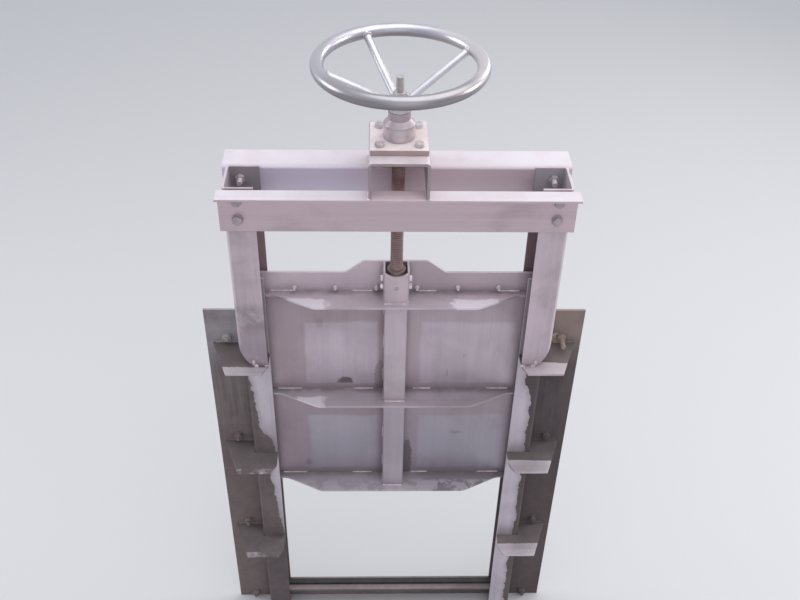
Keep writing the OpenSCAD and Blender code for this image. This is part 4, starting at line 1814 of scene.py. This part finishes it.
@dataclass
class Headstock:
    """The columns, the two beams, the bridge and the bearing."""

    shop: Shop
    slot: str = "headstock_steel"
    sheet: float = 5 * MM
    bridge_sheet: float = 6 * MM
    bolt_x: float = 336 * MM
    bolt_levels: tuple[float, ...] = (1407 * MM, 1453 * MM)
    front_stick: float = 6 * MM
    rear_stick: float = 16 * MM
    bearing_pitch: float = 80 * MM
    bearing_stick: float = 4 * MM
    bead: float = 3.0 * MM
    on_face: float = 0.5 * MM
    edge_gap: float = 1 * MM
    fold_gap: float = 6 * MM
    rear_gap: float = 7 * MM
    past_leg: float = 2 * MM
    above_flange: float = 1 * MM
    front_thicker: float = 1.25
    foot_run: Range = (1 * MM, 14 * MM)
    blob_at: float = 36 * MM
    blob: tuple[Point, ...] = ((3 * MM, 0.0, 18 * MM), (0.0, 0.0, 3 * MM), (-9 * MM, -3 * MM, 0.0))
    blob_bead: float = 5.4 * MM
    blob_ripple: float = 7 * MM
    side_start: float = 2 * MM
    side_end_y: float = -8 * MM
    upright_y: float = -6 * MM
    upright_start: float = 6 * MM
    upright_short: float = 2 * MM
    rng: random.Random = field(default_factory=lambda: random.Random(23))

    def build(self) -> None:
        """Makes the bolts and the welds."""
        self.beam_bolts()
        self.bearing_bolts()
        welds, muddy = Shape(), Shape()
        self.bridge_welds(welds)
        self.foot_welds(welds, muddy)
        welds.make("headstock_welds", self.shop.get("weld metal"), Body.FRAME, self.slot)
        muddy.make("column_foot_welds", self.shop.get("muddy weld"), Body.FRAME, self.slot)

    def beam_bolts(self) -> None:
        """Makes the bolts that hold the beams on the columns, with their nuts inside."""
        front, rear = span("column_right", Y)
        through = 2 * self.sheet
        heads, nuts, studs = Shape(), Shape(), Shape()
        for side in SIDES.values():
            for level in self.bolt_levels:
                for y, way, outward, inward, stick in (
                    (front - self.sheet, 1, Facing.FRONT, Facing.BACK, self.front_stick),
                    (rear + self.sheet, -1, Facing.BACK, Facing.FRONT, self.rear_stick),
                ):
                    x = side * self.bolt_x
                    M12.head_on(heads, (x, y, level), outward, self.rng)
                    M12.nut_on(nuts, (x, y + way * through, level), inward, self.rng, stick, False, studs)
        # Heads and nuts take the darker copy of the fastener steel, with dirt and painted shade; stud ends
        # take the paler copy, a painted highlight.
        dull = self.shop.get("dull fasteners")
        heads.make("headstock_bolt_heads", dull, Body.FRAME, self.slot)
        nuts.make("headstock_bolt_nuts", dull, Body.FRAME, self.slot)
        studs.make("headstock_bolt_ends", self.shop.get("bright fasteners"), Body.FRAME, self.slot)

    def bearing_bolts(self) -> None:
        """Makes the four bolts through the bearing's plate and the bridge."""
        low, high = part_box("bearing_plate")
        centre = (low + high) / 2
        under = span("stem_bridge", Z)[1] - self.bridge_sheet
        half = self.bearing_pitch / 2
        bearing = Shape()
        for dx in (-half, half):
            for dy in (-half, half):
                spot = (centre.x + dx, centre.y + dy)
                M10.head_on(bearing, (*spot, high.z), Facing.UP, self.rng)
                M10.nut_on(bearing, (*spot, under), Facing.DOWN, self.rng, self.bearing_stick)
        bearing.make("bearing_bolts", self.shop.get("fasteners"), Body.FRAME, self.slot)

    def bridge_welds(self, welds: Shape) -> None:
        """Lays the beads between the bridge's legs and the beams.

        Args:
            welds: The piece that they belong to.
        """
        seam = partial(welds.bead, radius=self.bead, rng=self.rng)
        bridge_front, bridge_rear = span("stem_bridge", Y)
        flange = span("headstock_front_beam", Z)[1]
        front_edge, front_back = span("headstock_front_beam", Y)
        rear_front = span("headstock_rear_beam", Y)[0]
        on_front = (front_edge + self.edge_gap, front_back - self.fold_gap)
        on_rear = (rear_front + self.rear_gap, bridge_rear)
        for leg, out in zip(span("stem_bridge", X), (-1, 1)):
            face = leg + out * self.on_face
            for start, end in (on_front, on_rear):
                seam([(face, start, flange), (face, end, flange)])
            inner, outer = leg - out * self.bridge_sheet, leg + out * self.past_leg
            y, z = bridge_front + self.on_face, flange + self.above_flange
            seam([(inner, y, z), (outer, y, z)], radius=self.front_thicker * self.bead)
            seam([(inner, bridge_rear, flange), (leg, bridge_rear, flange)])

    def foot_welds(self, welds: Shape, muddy: Shape) -> None:
        """Lays the beads where the columns stand on the upper lugs.

        Args:
            welds: The piece that the clean beads belong to.
            muddy: The piece that the muddy beads belong to.
        """
        lug_top = span("lug_right_upper", Z)[1]
        plate_top = span("wall_plate_right", Z)[1]
        guide_front = span("guide_right", Y)[0]
        face = span("column_right", Y)[0]
        inside, outside = span("column_right", X)
        for side in SIDES.values():
            start, end = (side * (inside + along) for along in self.foot_run)
            welds.bead([(start, face, lug_top), (end, face, lug_top)], self.bead, self.rng)
            corner = side * (inside + self.blob_at)
            blob = [(corner + side * dx, face + dy, lug_top + dz) for dx, dy, dz in self.blob]
            welds.bead(blob, self.blob_bead, self.rng, self.blob_ripple)
            x, y = side * outside, guide_front + self.side_start
            muddy.bead([(x, y, lug_top), (x, self.side_end_y, lug_top)], self.bead, self.rng)
            x, y = side * (outside + self.on_face), self.upright_y
            start, end = lug_top + self.upright_start, plate_top - self.upright_short
            muddy.bead([(x, y, start), (x, y, end)], self.bead, self.rng)

    def dress(self) -> None:
        """Gives the CAD nodes their finishes."""
        self.shop.dress("beam steel", "headstock_front_beam", "headstock_rear_beam")
        self.shop.dress("column steel", "column_left", "column_right")
        self.shop.dress("bridge steel", "stem_bridge")
        self.shop.dress("bearing steel", "bearing_plate")
        self.shop.dress("turned steel", "bearing_housing")


@dataclass
class Leaf:
    """The sliding leaf with its ribs, spine, pocket, nut and seals."""

    shop: Shop
    slot: str = "leaf_steel"
    seal_bolts: int = 6
    top_pitch: float = 94.4 * MM
    top_shift: float = 2 * MM
    top_stick: float = 8 * MM
    side_x: float = 328 * MM
    side_first: float = 52 * MM
    side_pitch: float = 108 * MM
    side_stick: float = 2 * MM
    clear_of_rib: float = 14 * MM
    past_rib: float = 22 * MM
    button: tuple[Range, ...] = ((8 * MM, 0), (8 * MM, 0.8 * MM), (7.2 * MM, 1.3 * MM), (2.5 * MM, 1.4 * MM))
    button_sunk: float = 1.2 * MM
    button_sides: int = 28
    pocket_bolt_y: float = -50 * MM
    pocket_bolt_drops: tuple[float, ...] = (26 * MM, 48 * MM)
    bead: float = 2.0 * MM
    stitches: tuple[Range, ...] = (
        (-292 * MM, -231 * MM),
        (-104 * MM, -52 * MM),
        (46 * MM, 94 * MM),
        (232 * MM, 286 * MM),
    )
    stitch_swing: float = 4
    under_shift: float = 60 * MM
    fold_inset: float = 1 * MM
    fold_edge: float = 6 * MM
    fold_short: float = 4 * MM
    fold_first: float = 30 * MM
    fold_stitch: float = 40 * MM
    fold_pitch: float = 105 * MM
    rng: random.Random = field(default_factory=lambda: random.Random(37))

    def build(self) -> None:
        """Makes the seals' bolts, the pocket's bolts and the welds."""
        self.bolts_of_seals()
        self.bolts_of_pocket()
        welds = Shape()
        self.rib_welds(welds)
        self.fold_welds(welds)
        welds.make("leaf_welds", self.shop.get("weld metal"), Body.LEAF, self.slot)

    def bolt_through(self, bolts: Shape, bolt: Bolt, x: float, z: float, stick: float, washer: bool) -> None:
        """Sets a nut on the leaf's face and a button head behind the seal.

        Args:
            bolts: The piece that they belong to.
            bolt: The bolt's size.
            x: Its place across.
            z: Its height.
            stick: How far its end stands out of the nut.
            washer: Whether there is a washer under the nut.
        """
        face = span("leaf_plate", Y)[0]
        back = span("top_seal", Y)[1] - self.button_sunk
        bolt.nut_on(bolts, (x, face, z), Facing.FRONT, self.rng, stick, washer)
        bolts.lathe(self.button, Matrix.Translation((x, back, z)) @ Facing.BACK.turn(), self.button_sides)

    def bolts_of_seals(self) -> None:
        """Makes the bolts along the top seal and down the side seals, clear of the ribs."""
        bolts = Shape()
        level = middle("top_seal", Z)
        for k in range(self.seal_bolts):
            x = (k - (self.seal_bolts - 1) / 2) * self.top_pitch + self.top_shift
            self.bolt_through(bolts, M6, x, level, self.top_stick, washer=False)
        bottom = span("leaf_plate", Z)[0]
        for side in SIDES.values():
            for k in range(self.seal_bolts):
                z = bottom + self.side_first + k * self.side_pitch
                if min(abs(z - rib) for rib in RIB_LEVELS) < self.clear_of_rib:
                    z += self.past_rib
                self.bolt_through(bolts, M8, side * self.side_x, z, self.side_stick, washer=True)
        # The seal bolts take the paler copy of the fastener steel: a painted highlight.
        bolts.make("seal_bolts", self.shop.get("bright fasteners"), Body.LEAF, self.slot)

    def bolts_of_pocket(self) -> None:
        """Makes the bolt heads on both sides of the nut's pocket."""
        pocket = Shape()
        nut_top = span("stem_nut", Z)[1]
        for x, facing in zip(span("nut_pocket", X), (Facing.LEFT, Facing.RIGHT)):
            for drop in self.pocket_bolt_drops:
                M8.head_on(pocket, (x, self.pocket_bolt_y, nut_top - drop), facing, self.rng)
        # The pocket bolts take the paler copy of the fastener steel: a painted highlight.
        pocket.make("pocket_bolts", self.shop.get("bright fasteners"), Body.LEAF, self.slot)

    def rib_welds(self, welds: Shape) -> None:
        """Lays the stitches above and below each rib.

        Args:
            welds: The piece that they belong to.
        """
        face = span("leaf_plate", Y)[0]
        for step in STEPS:
            under, top = span(f"rib_{step}", Z)
            for ends in self.stitches:
                a, b = (end + self.rng.uniform(-self.stitch_swing, self.stitch_swing) * MM for end in ends)
                welds.bead([(a, face, top), (b, face, top)], self.bead, self.rng)
                a, b = a + self.under_shift, b + self.under_shift
                welds.bead([(a, face, under), (b, face, under)], self.bead, self.rng)

    def fold_welds(self, welds: Shape) -> None:
        """Lays the beads round the ends of the spine and the pocket, and the stitches down their sides.

        Args:
            welds: The piece that they belong to.
        """
        seam = partial(welds.bead, radius=self.bead, rng=self.rng)
        face = span("leaf_plate", Y)[0]
        for node in ("spine_lower", "spine_upper", "nut_pocket"):
            low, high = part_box(node)
            for z in (low.z,) if node == "nut_pocket" else (low.z, high.z):
                seam([(low.x + self.fold_inset, low.y, z), (high.x - self.fold_inset, low.y, z)])
                for x in (low.x, high.x):
                    seam([(x, low.y + self.fold_edge, z), (x, face - self.fold_short, z)])
            for x in (low.x, high.x):
                z = low.z + self.fold_first
                while z < high.z - self.fold_first:
                    seam([(x, face, z), (x, face, min(z + self.fold_stitch, high.z - self.fold_short))])
                    z += self.fold_pitch

    def dress(self) -> None:
        """Gives the CAD nodes their finishes."""
        self.shop.dress("leaf steel", "leaf_plate")
        self.shop.dress("rib steel", *(f"rib_{step}" for step in STEPS))
        self.shop.dress("spine steel", "spine_lower", "spine_upper")
        self.shop.dress("pocket steel", "nut_pocket")
        self.shop.dress("nut bronze", "stem_nut")
        self.shop.dress("seal rubber", "top_seal", "side_seal_left", "side_seal_right")


@dataclass
class StemAndWheel:
    """The screwed stem, its collar and the handwheel."""

    shop: Shop
    thread: Thread = Thread(28 * MM, 6 * MM, 2.6 * MM, -1)
    thread_sides: int = 28
    end_thread: Thread = Thread(16 * MM, 2 * MM, 1.1 * MM)
    bridge_sheet: float = 6 * MM
    plain_neck: float = 14 * MM
    neck_edge: float = 0.6 * MM
    neck_foot: Range = (3 * MM, 2 * MM)
    journal_r: float = 11 * MM
    journal_sunk: float = 1 * MM
    turned_sides: int = 40
    nut_play: float = 0.8 * MM
    washer_bore: float = 8 * MM
    washer_r: float = 15 * MM
    washer_t: float = 2.5 * MM
    rim_tube: float = 13.5 * MM
    rim_r: float = 162.5 * MM
    spoke_r: float = 8 * MM
    spoke_root: float = 7 * MM
    spoke_lift: float = 5 * MM
    spoke_turns: tuple[float, ...] = (26.0, 116.0, 198.0, 292.0)
    hub_r: float = 22 * MM
    bead: float = 3.0 * MM
    off_rim: float = 0.6 * MM
    off_hub: float = 0.8 * MM
    off_spoke: float = 0.4 * MM

    def build(self) -> None:
        """Makes the stem with its threads, the wheel's nut and washer and the welds of the spokes."""
        axis = Matrix.Translation((middle("stem", X), middle("stem", Y), 0))
        self.stem(axis)
        self.nut(axis)
        self.welds(axis)

    def stem(self, axis: Matrix) -> None:
        """Makes the stem: a coarse thread, a plain neck, the journal and a fine thread at its end.

        Args:
            axis: Where its axis goes.
        """
        foot, top = span("stem", Z)
        neck_top = span("stem_bridge", Z)[1] - self.bridge_sheet
        neck = neck_top - self.plain_neck
        hub_top = span("wheel_hub", Z)[1]
        r = self.thread.diameter / 2
        profile = [
            (r - self.neck_foot[0], neck - self.neck_foot[1]),
            (r, neck),
            (r, neck_top - self.neck_edge),
            (r - self.neck_edge, neck_top),
        ]
        stem = Shape()
        stem.screw(self.thread, foot, neck, axis, self.thread_sides)
        stem.lathe(profile, axis, self.turned_sides)
        journal = [(self.journal_r, neck_top - self.journal_sunk), (self.journal_r, hub_top)]
        stem.lathe(journal, axis, self.turned_sides)
        stem.screw(self.end_thread, hub_top - STUD_START, top, axis)
        piece = stem.make("stem_screwed", self.shop.get("stem steel"), Body.HANDWHEEL, "stem_steel")
        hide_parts("stem")

    def nut(self, axis: Matrix) -> None:
        """Makes the wheel's nut and the washer under it.

        Args:
            axis: Where the stem's axis goes.
        """
        low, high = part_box("wheel_nut")
        place = axis @ Matrix.Translation((0, 0, low.z))
        bore = self.end_thread.diameter / 2 - self.nut_play
        flats_across_y = place @ Matrix.Rotation(math.radians(HEXAGON_TURN / 2), 4, "Z")
        nut = Shape()
        nut.hexagon(high.y - low.y, high.z - low.z, flats_across_y, bore, both=True)
        nut.collar(self.washer_bore, self.washer_r, self.washer_t, place)
        piece = nut.make("wheel_nut_turned", self.shop.get("fasteners"), Body.HANDWHEEL, "wheel_steel")
        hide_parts("wheel_nut")

    def welds(self, axis: Matrix) -> None:
        """Makes the beads round both ends of each spoke.

        Args:
            axis: Where the stem's axis goes.
        """
        foot = span("wheel_hub", Z)[0] + self.spoke_root
        start = axis.translation + Vector((0, 0, foot))
        climb = middle("wheel_rim", Z) + self.spoke_lift - foot
        welds = Shape()
        for turn in self.spoke_turns:
            angle = math.radians(turn)
            way = Vector((self.rim_r * math.cos(angle), self.rim_r * math.sin(angle), climb))
            aim = way.normalized()
            turned = aim.to_track_quat("Z", "Y").to_matrix().to_4x4()
            at_rim = way.length - self.rim_tube - self.off_rim
            at_hub = self.hub_r / math.cos(math.asin(aim.z)) + self.off_hub
            for distance in (at_rim, at_hub):
                place = Matrix.Translation(start + aim * distance) @ turned
                welds.ring_bead(place, self.spoke_r + self.off_spoke, self.bead)
        welds.make("wheel_welds", self.shop.get("weld metal"), Body.HANDWHEEL, "wheel_steel")

    def dress(self) -> None:
        """Gives the CAD nodes their finishes."""
        self.shop.dress("rim steel", "wheel_rim")
        self.shop.dress("spoke steel", "wheel_spokes")
        self.shop.dress("hub steel", "wheel_hub", "thrust_collar")


# Studio


@dataclass(frozen=True)
class Lamp:
    """A round soft lamp: where it hangs, what it points at, its width, its power and its tint."""

    name: str
    spot: Point
    aim: Point
    size: float
    power: float
    tint: Colour

    def hang(self) -> None:
        """Makes the lamp."""
        lamp = bpy.data.lights.new(self.name, "AREA")
        lamp.shape = "DISK"
        lamp.size = self.size
        lamp.energy = self.power
        lamp.color = self.tint
        holder = bpy.data.objects.new(self.name, lamp)
        turn = (Vector(self.aim) - Vector(self.spot)).to_track_quat("-Z", "Y").to_matrix().to_4x4()
        holder.matrix_world = Matrix.Translation(self.spot) @ turn
        bpy.context.scene.collection.objects.link(holder)


@dataclass
class Studio:
    """The floor, the soft light and the camera."""

    floor_size: float = 9.0
    floor_seen: Colour = (0.60, 0.597, 0.605)
    floor_lit: Colour = (0.34, 0.335, 0.34)
    floor_roughness: float = 0.95
    ahead: Colour = (0.44, 0.45, 0.48)
    behind: Colour = (0.78, 0.79, 0.82)
    zenith: Colour = (0.80, 0.83, 0.90)
    ahead_to_behind: Range = (-0.2, 0.8)
    horizon_to_zenith: Range = (0.0, 0.9)
    lamps: tuple[Lamp, ...] = (
        Lamp("overhead", (0.8, -0.1, 4.2), (0.0, -0.1, 0.9), 4.0, 50.0, (1.0, 0.98, 0.955)),
        Lamp("back right", (3.0, 3.2, 2.8), (0.0, 0.0, 1.5), 1.4, 26.0, (1.0, 0.985, 0.97)),
        Lamp("left side", (-3.6, 0.3, 2.6), (0.0, 0.0, 1.1), 1.8, 34.0, (0.93, 0.96, 1.0)),
        Lamp("right side", (3.6, 0.3, 2.4), (0.0, 0.0, 1.1), 1.8, 34.0, (1.0, 0.98, 0.96)),
        Lamp("front fill", (0.6, -4.4, 2.2), (0.0, 0.0, 0.9), 4.0, 17.0, (1.0, 0.985, 0.97)),
    )
    lens_px: float = 992.2
    width_px: float = 800.0
    sensor_width: float = 36.0
    eye: Point = (-0.0519, -1.8308, 2.5771)
    pitch: float = 38.607
    yaw: float = 1.973
    roll: float = -1.347

    def build(self) -> None:
        """Sets up floor, world, lamps and camera."""
        self.floor()
        self.world()
        for lamp in self.lamps:
            lamp.hang()
        self.camera()

    def floor(self) -> None:
        """Makes a plain pale floor at the gate's foot."""
        level = CAD_BOX[0][2]
        half = self.floor_size
        corners = [(-half, -half, level), (half, -half, level), (half, half, level), (-half, half, level)]
        mesh = bpy.data.meshes.new("studio_floor")
        mesh.from_pydata(corners, [], [(0, 1, 2, 3)])
        material, graph = blank("studio floor")
        path = graph.add("LightPath").outputs
        camera, glossy, through = (
            Wire(graph, path[ray]) for ray in ("Is Camera Ray", "Is Glossy Ray", "Is Transmission Ray")
        )
        colour = graph.mix(Mix.COLOUR, camera.most(glossy).most(through), self.floor_lit, self.floor_seen)
        graph.close({"Base Color": colour, "Roughness": self.floor_roughness})
        mesh.materials.append(material)
        floor = bpy.data.objects.new("studio_floor", mesh)
        bpy.context.scene.collection.objects.link(floor)

    def world(self) -> None:
        """Makes a pale world: brighter overhead and behind the camera's view than ahead of it."""
        world = bpy.data.worlds.new("studio")
        world.use_nodes = True
        graph = Graph(world.node_tree)
        _, back, up = graph.give("TexCoord", output="Generated").parts()
        horizon = graph.mix(Mix.COLOUR, back.fade(*self.ahead_to_behind), self.ahead, self.behind)
        colour = graph.mix(Mix.COLOUR, up.fade(*self.horizon_to_zenith), horizon, self.zenith)
        graph.add("OutputWorld", {"Surface": graph.give("Background", {"Color": colour, "Strength": 1.0})})
        bpy.context.scene.world = world

    def camera(self) -> None:
        """Puts the camera where the photograph was taken from."""
        scene = bpy.context.scene
        pitch, yaw, roll = (math.radians(a) for a in (self.pitch, self.yaw, self.roll))
        ahead = Vector((math.sin(yaw) * math.cos(pitch), math.cos(yaw) * math.cos(pitch), -math.sin(pitch)))
        across = Vector((math.cos(yaw), -math.sin(yaw), 0))
        down = ahead.cross(across)
        right = math.cos(roll) * across + math.sin(roll) * down
        below = -math.sin(roll) * across + math.cos(roll) * down
        turn = Matrix((right, -below, -ahead)).transposed().to_4x4()
        lens = bpy.data.cameras.new("camera")
        lens.sensor_width = self.sensor_width
        lens.lens = self.lens_px * self.sensor_width / self.width_px
        eye = bpy.data.objects.new("camera", lens)
        eye.matrix_world = Matrix.Translation(self.eye) @ turn
        scene.collection.objects.link(eye)
        scene.camera = eye
        scene.view_settings.view_transform = "Standard"


# The gate's finishes

STEEL: Colour = (0.645, 0.54, 0.595)
STEEL_DULL: Colour = (0.52, 0.43, 0.47)
ALONG_X: Point = (9.0, 420.0, 420.0)
EVENLY: Point = (300.0, 300.0, 300.0)
ROUND: Point = (90.0, 90.0, 900.0)
POLISHED: Point = (30.0, 30.0, 30.0)

FINISHES = (
    WallPlateFinish("wall plate steel", (0.42, 0.38, 0.38), (0.25, 0.21, 0.21), drips=0.3, dust_and_top_light=0.2),
    GuideFinish("guide steel", (0.74, 0.68, 0.76), (0.60, 0.55, 0.61), drips=0.3),
    LugFinish("lug steel", (0.64, 0.58, 0.62), (0.50, 0.44, 0.46), stretch=ALONG_X),
    # The beams' pale colour on what faces up is a painted top light on the flanges, with some dust.
    BeamFinish(
        "beam steel", (0.69, 0.55, 0.595), (0.57, 0.455, 0.49), stretch=ALONG_X, dull_cover=0.28, drips=0.15,
        dust_and_top_light=0.95, dust_and_top_light_colour=(0.68, 0.64, 0.68), dust_and_top_light_evenness=0.6, edge=0.3, grime_and_shade=0.35,
    ),
    ColumnFinish("column steel", STEEL, STEEL_DULL, drips=0.2, grime_and_shade=0.4),
    # The bridge's pale colour on what faces up is a painted top light, with some dust.
    BridgeFinish(
        "bridge steel", (0.66, 0.55, 0.57), STEEL_DULL, drips=0.15, dust_and_top_light=0.6, dust_and_top_light_colour=PALE_DUST_AND_TOP_LIGHT,
        dust_and_top_light_evenness=0.6, edge=0.15, grime_and_shade=0.0,
    ),
    # The bearing plate's pale top is a painted top light, with some dust.
    BearingFinish(
        "bearing steel", (0.60, 0.48, 0.47), (0.50, 0.41, 0.40), stretch=EVENLY, dust_and_top_light=0.9,
        dust_and_top_light_colour=(0.88, 0.79, 0.785), dust_and_top_light_evenness=0.6, grime_and_shade=0.4, edge=0.2,
    ),
    HousingFinish(
        "turned steel", (0.65, 0.57, 0.60), (0.50, 0.44, 0.46), stretch=ROUND, roughness=0.34, metallic=0.8,
        grime_and_shade=0.6,
    ),
    Finish("hub steel", (0.66, 0.62, 0.65), (0.50, 0.46, 0.48), stretch=ROUND, roughness=0.32, metallic=0.85),
    # The strong edge film on the leaf is a painted highlight along its edges.
    LeafFinish(
        "leaf steel", (0.66, 0.575, 0.64), (0.55, 0.475, 0.525), drips=0.22, ribs=RIB_LEVELS, grime_and_shade=0.5,
        edge=0.9,
    ),
    RibFinish("rib steel", (0.64, 0.55, 0.61), (0.485, 0.42, 0.46), stretch=ALONG_X, dust_and_top_light=0.1, grime_and_shade=0.45),
    SpineFinish("spine steel", (0.62, 0.53, 0.58), (0.52, 0.44, 0.48), drips=0.15),
    # The strong edge film on the pocket is a painted highlight along its top edges.
    SpineFinish(
        "pocket steel", (0.65, 0.545, 0.59), (0.54, 0.45, 0.49), drips=0.15, grime_and_shade=0.12, edge=0.9,
        radius=1.3 * MM,
    ),
    StemFinish(
        "stem steel", (0.66, 0.63, 0.62), (0.5, 0.46, 0.44), dust_and_top_light=0.0, roughness=0.36, radius=0.4 * MM,
        stretch=ROUND, metallic=0.8, grime_and_shade=0.3,
    ),
    Finish(
        "nut bronze", (0.24, 0.18, 0.155), (0.15, 0.115, 0.10), dust_and_top_light=0.1, stretch=ROUND, metallic=0.2,
        roughness=0.5, edge=0.15, grime_and_shade=0.3,
    ),
    RimFinish(
        "rim steel", (0.57, 0.565, 0.63), (0.49, 0.485, 0.54), middle_y=middle("wheel_rim", Y),
        roughness=0.33, metallic=1.0, grain=0.02, stretch=POLISHED, dust_and_top_light=0.0, radius=0.0, dull_cover=0.4,
        dull_scale=14.0, grime_and_shade=0.0,
    ),
    Finish(
        "spoke steel", (0.72, 0.71, 0.76), (0.62, 0.605, 0.64), roughness=0.40, metallic=0.85, grain=0.02,
        stretch=POLISHED, dust_and_top_light=0.0, radius=0.0, dull_scale=16.0, grime_and_shade=0.0,
    ),
    Finish(
        "fasteners", (0.70, 0.66, 0.68), (0.50, 0.45, 0.47), roughness=0.36, metallic=0.8, radius=0.3 * MM,
        stretch=EVENLY, dull_scale=60.0, dust_and_top_light=0.2, grime_and_shade=0.3, grime_and_shade_reach=6 * MM,
    ),
    # A paler copy of the fastener steel: a painted highlight.
    Finish(
        "bright fasteners", (0.88, 0.83, 0.86), (0.74, 0.69, 0.71), roughness=0.34, metallic=0.7,
        radius=0.3 * MM, stretch=EVENLY, dull_scale=60.0, dust_and_top_light=0.0, grime_and_shade=0.3, grime_and_shade_reach=6 * MM,
    ),
    # A darker copy of the fastener steel: dirt and painted shade.
    Finish(
        "dull fasteners", (0.52, 0.44, 0.485), (0.42, 0.35, 0.385), roughness=0.45, metallic=0.5,
        radius=0.4 * MM, stretch=EVENLY, dull_scale=50.0, grime_and_shade=0.35, grime_and_shade_reach=6 * MM,
    ),
    WallPlateFinish(
        "muddy fasteners", (0.50, 0.47, 0.47), (0.28, 0.24, 0.24), radius=0.3 * MM, cover=0.64, grime_and_shade=0.3,
        splash=replace(WallPlateFinish.splash, strength=0.4),
    ),
    WeldFinish(
        "weld metal", (0.80, 0.72, 0.75), (0.58, 0.52, 0.54), roughness=0.38, metallic=0.6, radius=0.3 * MM,
        stretch=EVENLY, dull_scale=40.0, grime_and_shade=0.1, grime_and_shade_reach=6 * MM,
    ),
    WallPlateFinish("muddy weld", (0.45, 0.42, 0.42), (0.28, 0.24, 0.24), radius=0.3 * MM, cover=0.55),
    RubberFinish(),
)


def main() -> None:
    """Builds the gate's sub-assemblies in order, then the studio."""
    logging.basicConfig(level=logging.INFO, format="%(message)s")
    shop = Shop(FINISHES)
    for part in (WallFrame(shop), Headstock(shop), Leaf(shop), StemAndWheel(shop)):
        known = set(bpy.data.objects)
        part.build()
        part.dress()
        for piece in sorted((o for o in bpy.data.objects if o not in known), key=lambda o: o.name):
            LOG.info("%s: %s with %d faces", type(part).__name__, piece.name, len(piece.data.polygons))
    Studio().build()


if __name__ == "__main__":
    main()
